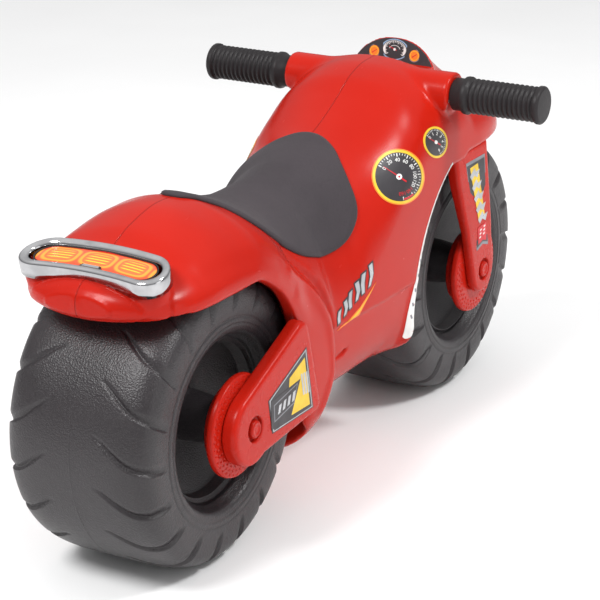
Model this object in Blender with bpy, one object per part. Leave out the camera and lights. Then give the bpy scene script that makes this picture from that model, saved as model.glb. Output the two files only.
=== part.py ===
"""A child's foot-to-floor ride-on motorbike: a blow-moulded body on two wide, free-spinning wheels.

+X is forward, +Y is the rider's left, +Z is up, and the floor is z = 0.
Tables and profiles are in millimetres from the rear axle's foot on the centre plane, and MM turns them
into metres.
"""

import math

import bmesh
import bpy
import numpy as np
from mathutils import Vector

MM = 0.001

# Driving dimensions
WHEELBASE = 500.0
WHEEL_R = 139.0
BODY_HALF = 89.0
BAR_HALF = 192.0
BAR_X = 421.0
BAR_Z = 350.0
TYRE_HALF = {"rear": 76.0, "front": 70.0}
ARM_OUTER = 105.0
FORK_OUTER = 95.5
WALL = 3.0
GAP = 0.3

# The bounding box runs from tyre to tyre, so its middle is halfway between the axles.
REAR_X = -WHEELBASE / 2
AXLE_X = {"rear": 0.0, "front": WHEELBASE}
ARCH_R = {"rear": WHEEL_R + 12.0, "front": WHEEL_R + 14.0}
ARCH_HALF = {"rear": 80.0, "front": 78.0}
AXLE_R = 6.0
BORE_R = AXLE_R + GAP
DISC_R = 48.5
CAP_R = 12.0
TUBE_R = 10.0
SLEEVE_R = 21.5
SLEEVE_END = 94.0
GRIP_R = 16.6
GRIP_RIBS = 13
TREAD_FLAT = 25.0
FLANGE_R = 19.4
COWL_STEP = 272.0
ROUND = 32
BODY_STEPS = (6, 22, 6)
ARM_POCKET = 90.0

# The outer face of each disc, where its arm or fork leg starts, and the end of each axle
DISC_OUTER = {"rear": 90.0, "front": 86.0}
SIDE_OUTER = {"rear": ARM_OUTER, "front": FORK_OUTER}
AXLE_END = {"rear": ARM_OUTER - 3.4, "front": FORK_OUTER - 3.0}
RECESS = {"rear": ARM_OUTER - 5.0, "front": FORK_OUTER - 4.4}

# The body's sections along x: crown and keel heights, half-width, where the straight side starts and ends,
# and how square each rounding is (2 is an ellipse).
CROWN = [(-122, 281), (-115, 290), (-100, 298), (-60, 313), (-37, 323), (11, 332), (35, 331), (60, 323),
         (100, 309), (145, 303), (200, 308), (250, 317), (287, 326), (318, 339), (344, 353), (371, 369),
         (402, 377), (424, 378), (440, 371), (458, 358), (480, 348), (520, 332), (560, 312), (590, 295),
         (608, 284), (616, 275)]
KEEL = [(-122, 270), (-115, 262), (-90, 258), (0, 257), (30, 259), (60, 250), (80, 232), (95, 200),
        (108, 130), (122, 70), (140, 49), (165, 49), (190, 62), (230, 76), (300, 84), (343, 88),
        (380, 120), (440, 250), (470, 268), (600, 269), (616, 270)]
HALF_MIDDLE = [(-20, 89), (40, 91), (100, 93), (150, 93.5), (172, 91), (188, 86), (210, 87), (260, 90),
               (343, 92), (480, 91)]
SIDE_HIGH = [(-122, 275), (-60, 272), (30, 272), (80, 245), (130, 185), (190, 160), (222, 168), (247, 196),
             (262, 210), (280, 226), (300, 246), (320, 265), (340, 278), (360, 286), (380, 291), (421, 304),
             (450, 304), (480, 290), (560, 285), (616, 273)]
SIDE_LOW = [(-122, 272), (-60, 268), (30, 268), (70, 245), (95, 215), (130, 140), (200, 150), (300, 150),
            (343, 140), (400, 200), (470, 281), (560, 281), (616, 272)]
SQUARE_UP = [(-122, 2.0), (-60, 1.8), (20, 1.8), (70, 2.0), (130, 1.85), (190, 1.75), (222, 1.8),
             (255, 2.0), (300, 2.0), (340, 2.1), (380, 2.2), (616, 2.2)]
SQUARE_LOW = [(-122, 2.0), (60, 2.2), (140, 2.6), (200, 2.4), (300, 2.8), (343, 3.6), (480, 2.2),
              (616, 2.0)]
# The widest that the hollow inside may be: it stays clear of the arm pockets and of the fork legs' spaces.
HOLLOW_HALF = [(-122, 76), (40, 76), (60, 86), (125, 86), (140, 91), (315, 91), (340, 73), (616, 73)]
TAIL_ROUND = (-20.0, 102.0, 2.5)
NOSE_ROUND = (480.0, 136.5, 2.3)

# The hood behind the dashboard: its own small sections, joined to the body.
HOOD_CROWN = [(462, 388), (478, 385), (500, 374), (525, 352), (548, 322)]
HOOD_HALF = [(462, 54), (478, 52), (500, 44), (525, 34), (548, 24)]
HOOD_FOOT = 285.0
HOOD_SHOULDER = 342.0
HOOD_LEAN = 0.28
LEAN_FROM = 345.0

# Half of the seat pad's width, measured over the body's surface from the crown line.
PAD_REACH = [(32, 6), (38, 14), (50, 22), (63, 34), (72, 52), (82, 63), (95, 70), (116, 77), (152, 91),
             (192, 100), (224, 104), (240, 100), (251, 89), (259, 66), (267, 49), (279, 31), (288, 10)]
PAD_THICK = 4.5
PAD_LIFT = 1.0

# The tail lamp lies on a plane that slopes down towards the rear.
LAMP_POINT = Vector((-85.0, 0.0, 309.0))
LAMP_SLOPE = math.radians(14.0)
LAMP_HALF = (74.0, 23.5)
LENS_HALF = (61.0, 14.0)
LAMP_BEND = 0.0016
LAMP_WALL = 16.0

# Printed stickers: how far each stands off the surface under it, and how thick it is.
STICKER_LIFT = 1.4
BAND_LIFT = 2.5
STICKER_THICK = 0.5
SNAP_REACH = 48.0
GAUGES = {"speedometer": ((313.5, -85.0, 288.6), (-0.60, -0.66, 0.45), 28.0),
          "rev_gauge": ((386.0, -90.0, 306.5), (-0.50, -0.76, 0.42), 16.0)}
ARM_STICKER = [(29.0, 124.0), (105.0, 123.0), (92.0, 187.0), (22.0, 158.0)]
FORK_STICKER = [(480.0, 165.0), (508.0, 165.0), (504.0, 266.0), (458.0, 266.0)]


def clear_scene():
    for obj in list(bpy.data.objects):
        bpy.data.objects.remove(obj, do_unlink=True)


def material(name, colour, roughness, metallic=0.0):
    made = bpy.data.materials.new(name)
    made.use_nodes = True
    shader = made.node_tree.nodes["Principled BSDF"]
    shader.inputs["Base Color"].default_value = (*colour, 1.0)
    shader.inputs["Roughness"].default_value = roughness
    shader.inputs["Metallic"].default_value = metallic
    made.diffuse_color = (*colour, 1.0)
    return made


def smooth_curve(points):
    """A function of x through the points, with no overshoot between them."""
    xs = np.array([p[0] for p in points], float)
    ys = np.array([p[1] for p in points], float)
    steps = np.diff(xs)
    slopes = np.diff(ys) / steps
    tangents = np.zeros(len(xs))
    tangents[0], tangents[-1] = slopes[0], slopes[-1]
    for i in range(1, len(xs) - 1):
        if slopes[i - 1] * slopes[i] > 0:
            left = 2 * steps[i] + steps[i - 1]
            right = steps[i] + 2 * steps[i - 1]
            tangents[i] = (left + right) / (left / slopes[i - 1] + right / slopes[i])

    def value(x):
        x = min(max(x, xs[0]), xs[-1])
        i = min(int(np.searchsorted(xs, x, side="right")) - 1, len(steps) - 1)
        h = steps[i]
        t = (x - xs[i]) / h
        start = ys[i] * (1 + 2 * t) * (1 - t) ** 2 + tangents[i] * h * t * (1 - t) ** 2
        end = ys[i + 1] * t * t * (3 - 2 * t) - tangents[i + 1] * h * t * t * (1 - t)
        return float(start + end)

    return value


crown_at = smooth_curve(CROWN)
keel_at = smooth_curve(KEEL)
half_middle_at = smooth_curve(HALF_MIDDLE)
high_at = smooth_curve(SIDE_HIGH)
low_at = smooth_curve(SIDE_LOW)
square_up_at = smooth_curve(SQUARE_UP)
square_low_at = smooth_curve(SQUARE_LOW)
hollow_half_at = smooth_curve(HOLLOW_HALF)


def rounded_end(x, end):
    start, length, power = end
    along = min(abs(x - start) / length, 1.0)
    return (1.0 - along**power) ** (1.0 / power)


def half_at(x):
    if x < TAIL_ROUND[0]:
        return BODY_HALF * rounded_end(x, TAIL_ROUND)
    if x > NOSE_ROUND[0]:
        return half_middle_at(NOSE_ROUND[0]) * rounded_end(x, NOSE_ROUND)
    return half_middle_at(x)


def place(x, y, z):
    """A point given in millimetres from the rear axle's foot, in metres in the part's frame."""
    return Vector(((x + REAR_X) * MM, y * MM, z * MM))


def quarter(half, height, square, count):
    """Points of a quarter superellipse, from its widest point to its tip."""
    for i in range(count):
        angle = i * math.pi / 2 / count
        across = half * math.cos(angle) ** (2 / square)
        up = height * math.sin(angle) ** (2 / square)
        yield across, up


def right_side(x, inset, count):
    """The section's right side at x as (y, z) points, from the keel to the crown."""
    near = (x - 4 * inset, x, x + 4 * inset) if inset > 0 else (x,)
    half = max(min(half_at(at) for at in near) - inset, 2.0)
    if inset > 0:
        half = min(half, hollow_half_at(x))
    crown = min(crown_at(at) for at in near) - inset
    keel = max(keel_at(at) for at in near) + inset
    middle = (high_at(x) + low_at(x)) / 2
    high = min(max(high_at(x), middle), crown - 2.0)
    low = max(min(low_at(x), high - 0.5), keel + 2.0)
    high = max(high, low + 0.5)
    crown = max(crown, high + 2.0)
    lower = [(-across, low - up) for across, up in quarter(half, low - keel, square_low_at(x), count)]
    upper = [(-across, high + up) for across, up in quarter(half, crown - high, square_up_at(x), count)]
    return [(0.0, keel)] + lower[::-1] + upper + [(0.0, crown)]


def width_at(x, z):
    """Half of the body's width at x and the height z."""
    high, low = high_at(x), low_at(x)
    if low <= z <= high:
        return half_at(x)
    if z > high:
        along, square = (z - high) / (crown_at(x) - high), square_up_at(x)
    else:
        along, square = (low - z) / (low - keel_at(x)), square_low_at(x)
    return half_at(x) * max(0.0, 1.0 - along**square) ** (1.0 / square)


def ring(x, inset=0.0, count=6):
    side = right_side(x, inset, count)
    left = [(-y, z) for y, z in side[-2:0:-1]]
    return [place(x, y, z) for y, z in side + left]


def body_stations(tail_steps, middle_steps, nose_steps, inset=0.0):
    start, length, _ = TAIL_ROUND
    tail = [start - (length - inset) * math.cos(i * math.pi / 2 / tail_steps) for i in range(tail_steps)]
    end, reach, _ = NOSE_ROUND
    middle = [start + (end - start) * i / middle_steps for i in range(middle_steps)]
    nose = [end + (reach - inset) * math.sin(i * math.pi / 2 / nose_steps) for i in range(nose_steps + 1)]
    return tail + middle + nose


def mesh_object(name, bm, finish=None, parent=None):
    bmesh.ops.recalc_face_normals(bm, faces=bm.faces)
    mesh = bpy.data.meshes.new(name)
    bm.to_mesh(mesh)
    bm.free()
    obj = bpy.data.objects.new(name, mesh)
    bpy.context.collection.objects.link(obj)
    if finish:
        mesh.materials.append(finish)
        mesh.shade_smooth()
        mesh.set_sharp_from_angle(angle=math.radians(35))
    if parent:
        obj.parent = parent
        obj.matrix_parent_inverse = parent.matrix_world.inverted()
    return obj


def loft(rings, close_ends=True, close_length=False):
    """A skin over rings of equal length, in triangles, so two such skins stay a gap apart."""
    bm = bmesh.new()
    rows = [[bm.verts.new(point) for point in points] for points in rings]
    pairs = list(zip(rows, rows[1:]))
    if close_length:
        pairs.append((rows[-1], rows[0]))
    for low, high in pairs:
        for i in range(len(low)):
            j = (i + 1) % len(low)
            bm.faces.new((low[i], low[j], high[j]))
            bm.faces.new((low[i], high[j], high[i]))
    if close_ends:
        bm.faces.new(rows[0])
        bm.faces.new(rows[-1])
    return bm


def turned(profile, x, z, segments=ROUND, solid=True):
    """A shape turned about a crosswise axis. A solid one's (radius, y) profile starts and ends on it."""
    bm = bmesh.new()
    rows = []
    for radius, y in profile:
        if solid and radius == 0:
            rows.append([bm.verts.new(place(x, y, z))])
            continue
        row = []
        for i in range(segments):
            angle = 2 * math.pi * (i + 0.5) / segments
            row.append(bm.verts.new(place(x + radius * math.sin(angle), y, z - radius * math.cos(angle))))
        rows.append(row)
    pairs = list(zip(rows, rows[1:]))
    if not solid:
        pairs.append((rows[-1], rows[0]))
    for low, high in pairs:
        for i in range(segments):
            j = (i + 1) % segments
            corners = (low[i % len(low)], low[j % len(low)], high[j % len(high)], high[i % len(high)])
            bm.faces.new(list(dict.fromkeys(corners)))
    return bm


def drum(x, z, radius, low_y, high_y, segments=ROUND):
    return turned([(0, low_y), (radius, low_y), (radius, high_y), (0, high_y)], x, z, segments)


def plate(outline, near_y, far_y):
    """A side-on outline of (x, z) points, extruded across the part."""
    near = [place(x, near_y, z) for x, z in outline]
    far = [place(x, far_y, z) for x, z in outline]
    return loft([near, far])


def helper(name, bm):
    obj = mesh_object(name, bm)
    obj.hide_render = True
    obj.display_type = "WIRE"
    return obj


def boolean(obj, other, operation="DIFFERENCE"):
    modifier = obj.modifiers.new(f"{operation.lower()} {other.name}", "BOOLEAN")
    modifier.operation = operation
    modifier.object = other


def arc(x, z, radius, start, end, steps):
    """Points of an arc in side view, with angles in degrees from forward, turning up."""
    for i in range(steps + 1):
        angle = math.radians(start + (end - start) * i / steps)
        yield x + radius * math.cos(angle), z + radius * math.sin(angle)


def hood_ring(x, inset=0.0, count=6):
    """A section of the hood, which leans forward with height at its rear face."""
    half = smooth_curve(HOOD_HALF)(x) - inset
    top = smooth_curve(HOOD_CROWN)(x) - inset
    lean = HOOD_LEAN * max(0.0, 1.0 - (x - HOOD_CROWN[0][0]) / 60.0)
    foot = HOOD_FOOT + inset
    shoulder = HOOD_SHOULDER if top > HOOD_SHOULDER + 8.0 else (top + foot) / 2
    side = [(half, foot)]
    side += [(across, shoulder + up) for across, up in quarter(half, top - shoulder, 2.1, count)]
    points = side + [(0.0, top)] + [(-y, z) for y, z in side[::-1]]
    return [place(x + lean * (z - LEAN_FROM), y, z) for y, z in points]


def arch_cutter(name, which, extra=0.0):
    half = ARCH_HALF[which] + extra
    radius = ARCH_R[which] + extra
    return helper(name, drum(AXLE_X[which], WHEEL_R, radius, -half, half, 48))


def cowl_side_cutter(name, side):
    """Clears a fork leg's space: outside the wheel, inside the arch's circle, under the cowl's step."""
    inner, outer = side * (ARCH_HALF["front"] - 2.0), side * (BODY_HALF + 20.0)
    radius = ARCH_R["front"] + 1.0
    rise = math.degrees(math.asin((COWL_STEP - WHEEL_R) / radius))
    outline = list(arc(WHEELBASE, WHEEL_R, radius, 180 - rise, 360 + rise, 31))
    return helper(name, plate(outline, inner, outer))


def arm_outline(grow=0.0):
    """The swing arm in side view: a round rear end about the axle and a tall front end on the body."""
    radius = 35.0 + grow
    rear = list(arc(0.0, WHEEL_R, radius, 115, 300, 14))
    front = list(arc(112.0 - grow, 124.0, 9.0 + grow, 290, 365, 5))
    top = list(arc(86.0, 199.0, 14.0 + grow, 20, 125, 7))
    return rear + front + top


def body_hollow():
    stations = body_stations(5, 16, 4, inset=WALL + 1.0)
    hollow = helper("hollow_core", loft([ring(x, WALL, 4) for x in stations]))
    for which in ("rear", "front"):
        boolean(hollow, arch_cutter(f"arch_wall_{which}", which, WALL))
    sleeve_core = drum(BAR_X, BAR_Z, SLEEVE_R - WALL, -(SLEEVE_END - WALL), SLEEVE_END - WALL, 24)
    boolean(hollow, helper("sleeve_core", sleeve_core), "UNION")
    return hollow


def make_body(finish, parent):
    stations = body_stations(*BODY_STEPS)
    body = mesh_object("body_shell", loft([ring(x) for x in stations]), finish, parent)
    sleeves = drum(BAR_X, BAR_Z, SLEEVE_R, -SLEEVE_END, SLEEVE_END, 32)
    boolean(body, helper("sleeve_pair", sleeves), "UNION")
    hood_x = [462, 470, 480, 495, 510, 525, 538, 548]
    boolean(body, helper("hood_form", loft([hood_ring(x) for x in hood_x])), "UNION")
    long_base, wide_base = LAMP_HALF[0] - 1.5, LAMP_HALF[1] - 1.5
    base = lamp_outline(long_base, wide_base)
    base_rings = [outline_ring(base, -30.0), outline_ring(base, -LAMP_WALL)]
    boolean(body, helper("lamp_base", loft(base_rings)), "UNION")
    for which in ("rear", "front"):
        boolean(body, arch_cutter(f"arch_{which}", which))
    for side, label in ((-1, "right"), (1, "left")):
        boolean(body, cowl_side_cutter(f"cowl_side_{label}", side))
        pocket = plate(arm_outline(1.0), side * ARM_POCKET, side * (BODY_HALF + 20.0))
        boolean(body, helper(f"arm_pocket_{label}", pocket))
    boolean(body, body_hollow())
    bore = drum(BAR_X, BAR_Z, TUBE_R + GAP, -SLEEVE_END - 5, SLEEVE_END + 5, 16)
    boolean(body, helper("bar_bore", bore))
    return body


def surface_point(x, reach, lift):
    """The surface's point at x that is reach from the crown line, measured over the section."""
    outline = [Vector((y, z)) for y, z in right_side(x, 0.0, 24)[::-1]]
    outline[0].x = 0.0
    gone = 0.0
    for near, far in zip(outline, outline[1:]):
        step = (far - near).length
        if gone + step >= reach:
            along = (far - near) / step
            at = near + along * (reach - gone)
            out = Vector((along.y, -along.x))
            return at + out * lift
        gone += step
    return outline[-1]


def make_seat(finish, parent, clearance):
    """The seat pad: a thin saddle that follows the body."""
    reach_at = smooth_curve(PAD_REACH)
    first, last = PAD_REACH[0][0], PAD_REACH[-1][0]
    count = 16
    rings = []
    for i in range(count + 1):
        x = (first + last) / 2 - (last - first) / 2 * math.cos(math.pi * i / count)
        reach = reach_at(x)
        parts = [k / 4 for k in range(-4, 5)]
        over = [(k, PAD_LIFT + PAD_THICK) for k in parts]
        under = [(k, PAD_LIFT) for k in parts[::-1]]
        points = []
        for k, lift in over + under:
            at = surface_point(x, abs(k) * reach, lift)
            points.append(place(x, at.x * (-1 if k > 0 else 1), at.y))
        rings.append(points)
    pad = mesh_object("seat_pad", loft(rings), finish, parent)
    boolean(pad, clearance)
    return pad


def lamp_place(across, along, up):
    """A point on the lamp's own axes: across the body, down its slope, and out of its face."""
    bent = along + LAMP_BEND * across * across
    x = LAMP_POINT.x - bent * math.cos(LAMP_SLOPE) - up * math.sin(LAMP_SLOPE)
    z = LAMP_POINT.z - bent * math.sin(LAMP_SLOPE) + up * math.cos(LAMP_SLOPE)
    return place(x, across, z)


def outline_ring(points, up):
    return [lamp_place(across, along, up) for across, along in points]


def lamp_outline(half_long, half_wide, steps=5):
    """The lamp's outline with evenly spread points, so that its long sides can bend."""
    straight = half_long - half_wide
    points = []
    for sign in (1, -1):
        for i in range(steps + 1):
            angle = math.pi / 2 - math.pi * i / steps
            across = straight + half_wide * math.cos(angle)
            points.append((sign * across, sign * half_wide * math.sin(angle)))
        points += [(sign * straight * (1 - k / 2), -sign * half_wide) for k in (1, 2, 3)]
    return points


def make_lamp(chrome, lens_finish, parent, clearance):
    long_out, wide_out = LAMP_HALF
    long_in, wide_in = LENS_HALF
    outer = lamp_outline(long_out, wide_out)
    crest = lamp_outline(long_out - 2.5, wide_out - 2.5)
    inner = lamp_outline(long_in + GAP, wide_in + GAP)
    foot = -LAMP_WALL + GAP
    rings = [outline_ring(outer, foot), outline_ring(outer, -2.5), outline_ring(crest, 0.0),
             outline_ring(inner, -3.0), outline_ring(inner, foot)]
    bezel = mesh_object("tail_lamp_bezel", loft(rings, False, True), chrome, parent)
    face = lamp_outline(long_in, wide_in)
    dome = lamp_outline(long_in - 5.0, wide_in - 5.0)
    rings = [outline_ring(face, foot), outline_ring(face, -4.5), outline_ring(dome, -3.0)]
    lens = mesh_object("tail_lamp_lens", loft(rings), lens_finish, parent)
    boolean(bezel, clearance)
    boolean(lens, clearance)


def wheel_profile(which):
    """Half of a wheel's section as (radius, y) points, from the hub's bore to the tread's middle."""
    half = TYRE_HALF[which]
    bead = 95.5
    tread = []
    for i in range(5):
        angle = math.pi / 2 * i / 5
        y = half * math.cos(angle) ** (2 / 4.4)
        radius = bead + (WHEEL_R - bead) * math.sin(angle) ** (2 / 4.4)
        tread.append((radius, y))
    tread.append((WHEEL_R, TREAD_FLAT))
    hub_end = half - 2.6
    return [(BORE_R, hub_end), (20.0, hub_end), (24.0, 24.0), (74.0, 20.0), (81.0, half - 8.0),
            (85.0, half - 1.5)] + tread


def hollow_profile(which):
    half = TYRE_HALF[which]
    return [(28.0, 17.0), (73.0, 15.0), (86.0, half - 9.0), (100.0, half - 4.0), (124.0, half - 7.0),
            (WHEEL_R - WALL - 4.0, half - 24.0)]


def both_sides(profile):
    return list(profile) + [(radius, -y) for radius, y in profile[::-1]]


def make_wheel(which, finish, parent):
    """One hollow blow-moulded piece: tyre, rim and hub."""
    x = AXLE_X[which]
    true_up = 1.0 / math.cos(math.pi / ROUND)
    profile = [(radius * true_up if radius > 30 else radius, y) for radius, y in wheel_profile(which)]
    form = turned(both_sides(profile), x, WHEEL_R, solid=False)
    wheel = mesh_object(f"{which}_wheel", form, finish, parent)
    inside = both_sides(hollow_profile(which))
    boolean(wheel, helper(f"{which}_wheel_hollow", turned(inside, x, WHEEL_R, 16, solid=False)))
    vent = drum(x + 50.0, WHEEL_R, 4.0, 10.0, 30.0, 8)
    boolean(wheel, helper(f"{which}_wheel_vent", vent))
    return wheel


def make_axle(which, finish, parent):
    reach = AXLE_END[which]
    profile = [(0, -reach), (AXLE_R - 0.8, -reach), (AXLE_R, -reach + 0.8), (AXLE_R, reach - 0.8),
               (AXLE_R - 0.8, reach), (0, reach)]
    return mesh_object(f"{which}_axle", turned(profile, AXLE_X[which], WHEEL_R, 16), finish, parent)


def make_disc(which, side, label, finish, parent):
    """A dummy brake disc with a boss that keeps the wheel in its place."""
    outer = DISC_OUTER[which]
    inner = TYRE_HALF[which] - 2.0
    rim = outer - 9.0
    profile = [(BORE_R, inner), (38.0, inner), (41.0, rim - 1.0), (DISC_R - 2.0, rim), (DISC_R, rim + 2.5),
               (DISC_R - 1.5, outer), (BORE_R, outer)]
    profile = [(radius, side * y) for radius, y in profile]
    bm = turned(profile, AXLE_X[which], WHEEL_R, 24, solid=False)
    return mesh_object(f"{which}_disc_{label}", bm, finish, parent)


def make_cap(which, side, label, finish, parent):
    """The push-on cap over an axle's end."""
    foot = RECESS[which] + GAP
    top = SIDE_OUTER[which] + 1.2
    end = AXLE_END[which] + GAP
    radius = CAP_R - GAP
    profile = [(BORE_R, foot), (radius, foot), (radius, top - 3.0), (radius - 2.5, top - 0.8), (0, top)]
    profile = profile[::-1] + [(BORE_R, foot), (BORE_R, end), (0, end)]
    seen = []
    for point in profile:
        if point not in seen[-1:]:
            seen.append(point)
    bm = turned([(radius, side * y) for radius, y in seen], AXLE_X[which], WHEEL_R, 16)
    return mesh_object(f"{which}_axle_cap_{label}", bm, finish, parent)


def drill_for_axle(obj, which, side, label):
    low, high = sorted((side * (DISC_OUTER[which] - 15.0), side * (SIDE_OUTER[which] + 5.0)))
    boolean(obj, helper(f"{which}_bore_{label}", drum(AXLE_X[which], WHEEL_R, BORE_R, low, high, 16)))
    low, high = sorted((side * RECESS[which], side * (SIDE_OUTER[which] + 5.0)))
    boolean(obj, helper(f"{which}_recess_{label}", drum(AXLE_X[which], WHEEL_R, CAP_R, low, high, 16)))


def bevel(obj, width, segments=1, angle=35):
    modifier = obj.modifiers.new("edge rounding", "BEVEL")
    modifier.width = width * MM
    modifier.segments = segments
    modifier.limit_method = "ANGLE"
    modifier.angle_limit = math.radians(angle)


def make_arm(side, label, finish, parent):
    bm = plate(arm_outline(), side * (DISC_OUTER["rear"] + GAP), side * ARM_OUTER)
    arm = mesh_object(f"swing_arm_{label}", bm, finish, parent)
    bevel(arm, 4.0)
    drill_for_axle(arm, "rear", side, label)
    return arm


def fork_outline():
    """A fork leg in side view: a wide top under the cowl and a round foot about the axle."""
    foot = list(arc(WHEELBASE, WHEEL_R, 25.0, 195, 375, 14))
    top = COWL_STEP - GAP
    return foot + [(519.0, 178.0), (513.0, top), (436.0, top), (441.0, 246.0)]


def make_fork(side, label, finish, parent):
    bm = plate(fork_outline(), side * (DISC_OUTER["front"] + GAP), side * FORK_OUTER)
    leg = mesh_object(f"fork_leg_{label}", bm, finish, parent)
    top = COWL_STEP - GAP
    block = [(449.0, 215.0), (461.0, 197.0), (508.0, 197.0), (513.0, top), (436.0, top), (441.0, 246.0)]
    inner = side * (ARCH_HALF["front"] + GAP)
    form = plate(block, inner, side * (DISC_OUTER["front"] + 4.0))
    boolean(leg, helper(f"fork_block_{label}", form), "UNION")
    drill_for_axle(leg, "front", side, label)
    return leg


def grip_profile():
    """A handlebar grip as (radius, y) points: a collar, a flange, ribs, an end flange and a blind bore."""
    start, end = SLEEVE_END + GAP, BAR_HALF
    bore = TUBE_R + GAP
    points = [(0, end - 6.0), (bore, end - 6.0), (bore, start), (GRIP_R, start), (GRIP_R, 105.0),
              (FLANGE_R, 107.5), (FLANGE_R, 111.0), (GRIP_R, 113.5)]
    first, last = 116.0, 183.0
    for i in range(2 * GRIP_RIBS + 1):
        y = first + (last - first) * i / (2 * GRIP_RIBS)
        points.append((GRIP_R + (1.5 if i % 2 else 0.0), y))
    return points + [(FLANGE_R, 187.0), (FLANGE_R, end - 1.5), (FLANGE_R - 1.5, end), (0, end)]


def make_grip(side, label, finish, parent):
    profile = [(radius, side * y) for radius, y in grip_profile()]
    return mesh_object(f"grip_{label}", turned(profile, BAR_X, BAR_Z, 12), finish, parent)


def make_tube(finish, parent):
    reach = BAR_HALF - 6.6
    inner = TUBE_R - 1.5
    profile = [(TUBE_R, -reach), (TUBE_R, reach), (inner, reach), (inner, -reach)]
    bm = turned(profile, BAR_X, BAR_Z, 12, solid=False)
    return mesh_object("handlebar_tube", bm, finish, parent)


def make_dash(finish, parent):
    """The printed dashboard panel on the hood's rear face."""
    face = HOOD_CROWN[0][0] - GAP
    rings = []
    for depth in (0.0, -1.0):
        half, top = HOOD_HALF[0][1] - 3.0, HOOD_CROWN[0][1] - 3.0
        rise = quarter(half, top - HOOD_SHOULDER, 2.1, 9)
        side = [(across, HOOD_SHOULDER + up) for across, up in rise]
        outline = [(half - 1.0, 361.0)] + [p for p in side if p[1] > 362.0] + [(0.0, top)]
        outline += [(-y, z) for y, z in outline[-2::-1]]
        rings.append([place(face + depth + HOOD_LEAN * (z - LEAN_FROM), y, z) for y, z in outline])
    return mesh_object("dash_panel", loft(rings), finish, parent)


def snap(point, out, lift):
    """Moves a point along the direction out, onto the body's surface, and lifts it off by lift."""
    near, far = -SNAP_REACH, SNAP_REACH
    for _ in range(26):
        middle = (near + far) / 2
        at = point + out * middle
        if abs(at.y) < width_at(at.x, at.z):
            near = middle
        else:
            far = middle
    return point + out * (near + lift)


def make_gauge(name, side, label, finish, parent):
    """A round sticker that follows the body's surface."""
    centre, out, radius = GAUGES[name]
    centre = Vector((centre[0], -side * centre[1], centre[2]))
    out = Vector((out[0], -side * out[1], out[2])).normalized()
    across = out.cross(Vector((0.0, 0.0, 1.0))).normalized()
    up = across.cross(out)
    bm = bmesh.new()
    rows = []
    layers = [(0, 0), (radius / 2, 0), (radius, 0), (radius, 1), (radius / 2, 1), (0, 1)]
    for reach, layer in layers:
        row = []
        for i in range(20 if reach else 1):
            angle = 2 * math.pi * i / 20
            flat = centre + reach * (math.cos(angle) * across + math.sin(angle) * up)
            row.append(bm.verts.new(place(*snap(flat, out, STICKER_LIFT + layer * STICKER_THICK))))
        rows.append(row)
    for low, high in zip(rows, rows[1:]):
        for i in range(20):
            j = (i + 1) % 20
            corners = (low[i % len(low)], low[j % len(low)], high[j % len(high)], high[i % len(high)])
            bm.faces.new(list(dict.fromkeys(corners)))
    return mesh_object(f"{name}_sticker_{label}", bm, finish, parent)


def make_side_sticker(name, rungs, side, label, finish, parent):
    """A band that follows the body's side. Each rung is its (x, z) at the lower and at the upper edge.

    It is one sheet of triangles extruded outwards, so its two faces stay the same distance apart.
    """
    bm = bmesh.new()
    rows = []
    for rung in rungs:
        rows.append([bm.verts.new(place(x, side * (width_at(x, z) + BAND_LIFT), z)) for x, z in rung])
    for (low, high), (next_low, next_high) in zip(rows, rows[1:]):
        bm.faces.new((low, next_low, next_high))
        bm.faces.new((low, next_high, high))
    outer = bmesh.ops.extrude_face_region(bm, geom=bm.faces[:])["geom"]
    corners = [item for item in outer if isinstance(item, bmesh.types.BMVert)]
    outwards = place(0.0, side * STICKER_THICK, 0.0) - place(0.0, 0.0, 0.0)
    bmesh.ops.translate(bm, verts=corners, vec=outwards)
    return mesh_object(f"{name}_sticker_{label}", bm, finish, parent)


def edge_strip_rungs():
    """The strip beside the front arch's edge, which widens towards its lower end."""
    rungs = []
    for i in range(11):
        along = i / 10
        angle = math.radians(119.0 + 73.0 * along)
        wide = 3.0 + 11.0 * along**2
        low, high = ARCH_R["front"] + 1.5, ARCH_R["front"] + 1.5 + wide
        near, far = ((WHEELBASE + r * math.cos(angle), WHEEL_R + r * math.sin(angle)) for r in (low, high))
        rungs.append((near, far))
    return rungs


def side_graphic_rungs():
    """A slanted flash on the fairing's side."""
    rungs = []
    for i in range(5):
        along = i / 4
        x = 192.0 + 58.0 * along
        rungs.append(((x, 168.0 + 22.0 * along), (x + 6.0, 192.0 + 28.0 * along)))
    return rungs


def make_flat_sticker(name, outline, face, side, label, finish, parent):
    bm = plate(outline, side * (face + GAP), side * (face + GAP + STICKER_THICK))
    return mesh_object(f"{name}_sticker_{label}", bm, finish, parent)


def make_stickers(side, label, finish, parent):
    for name in GAUGES:
        make_gauge(name, side, label, finish, parent)
    make_side_sticker("edge_strip", edge_strip_rungs(), side, label, finish, parent)
    make_side_sticker("side_graphic", side_graphic_rungs(), side, label, finish, parent)
    make_flat_sticker("swing_arm", ARM_STICKER, ARM_OUTER, side, label, finish, parent)
    make_flat_sticker("fork", FORK_STICKER, FORK_OUTER, side, label, finish, parent)


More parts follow.
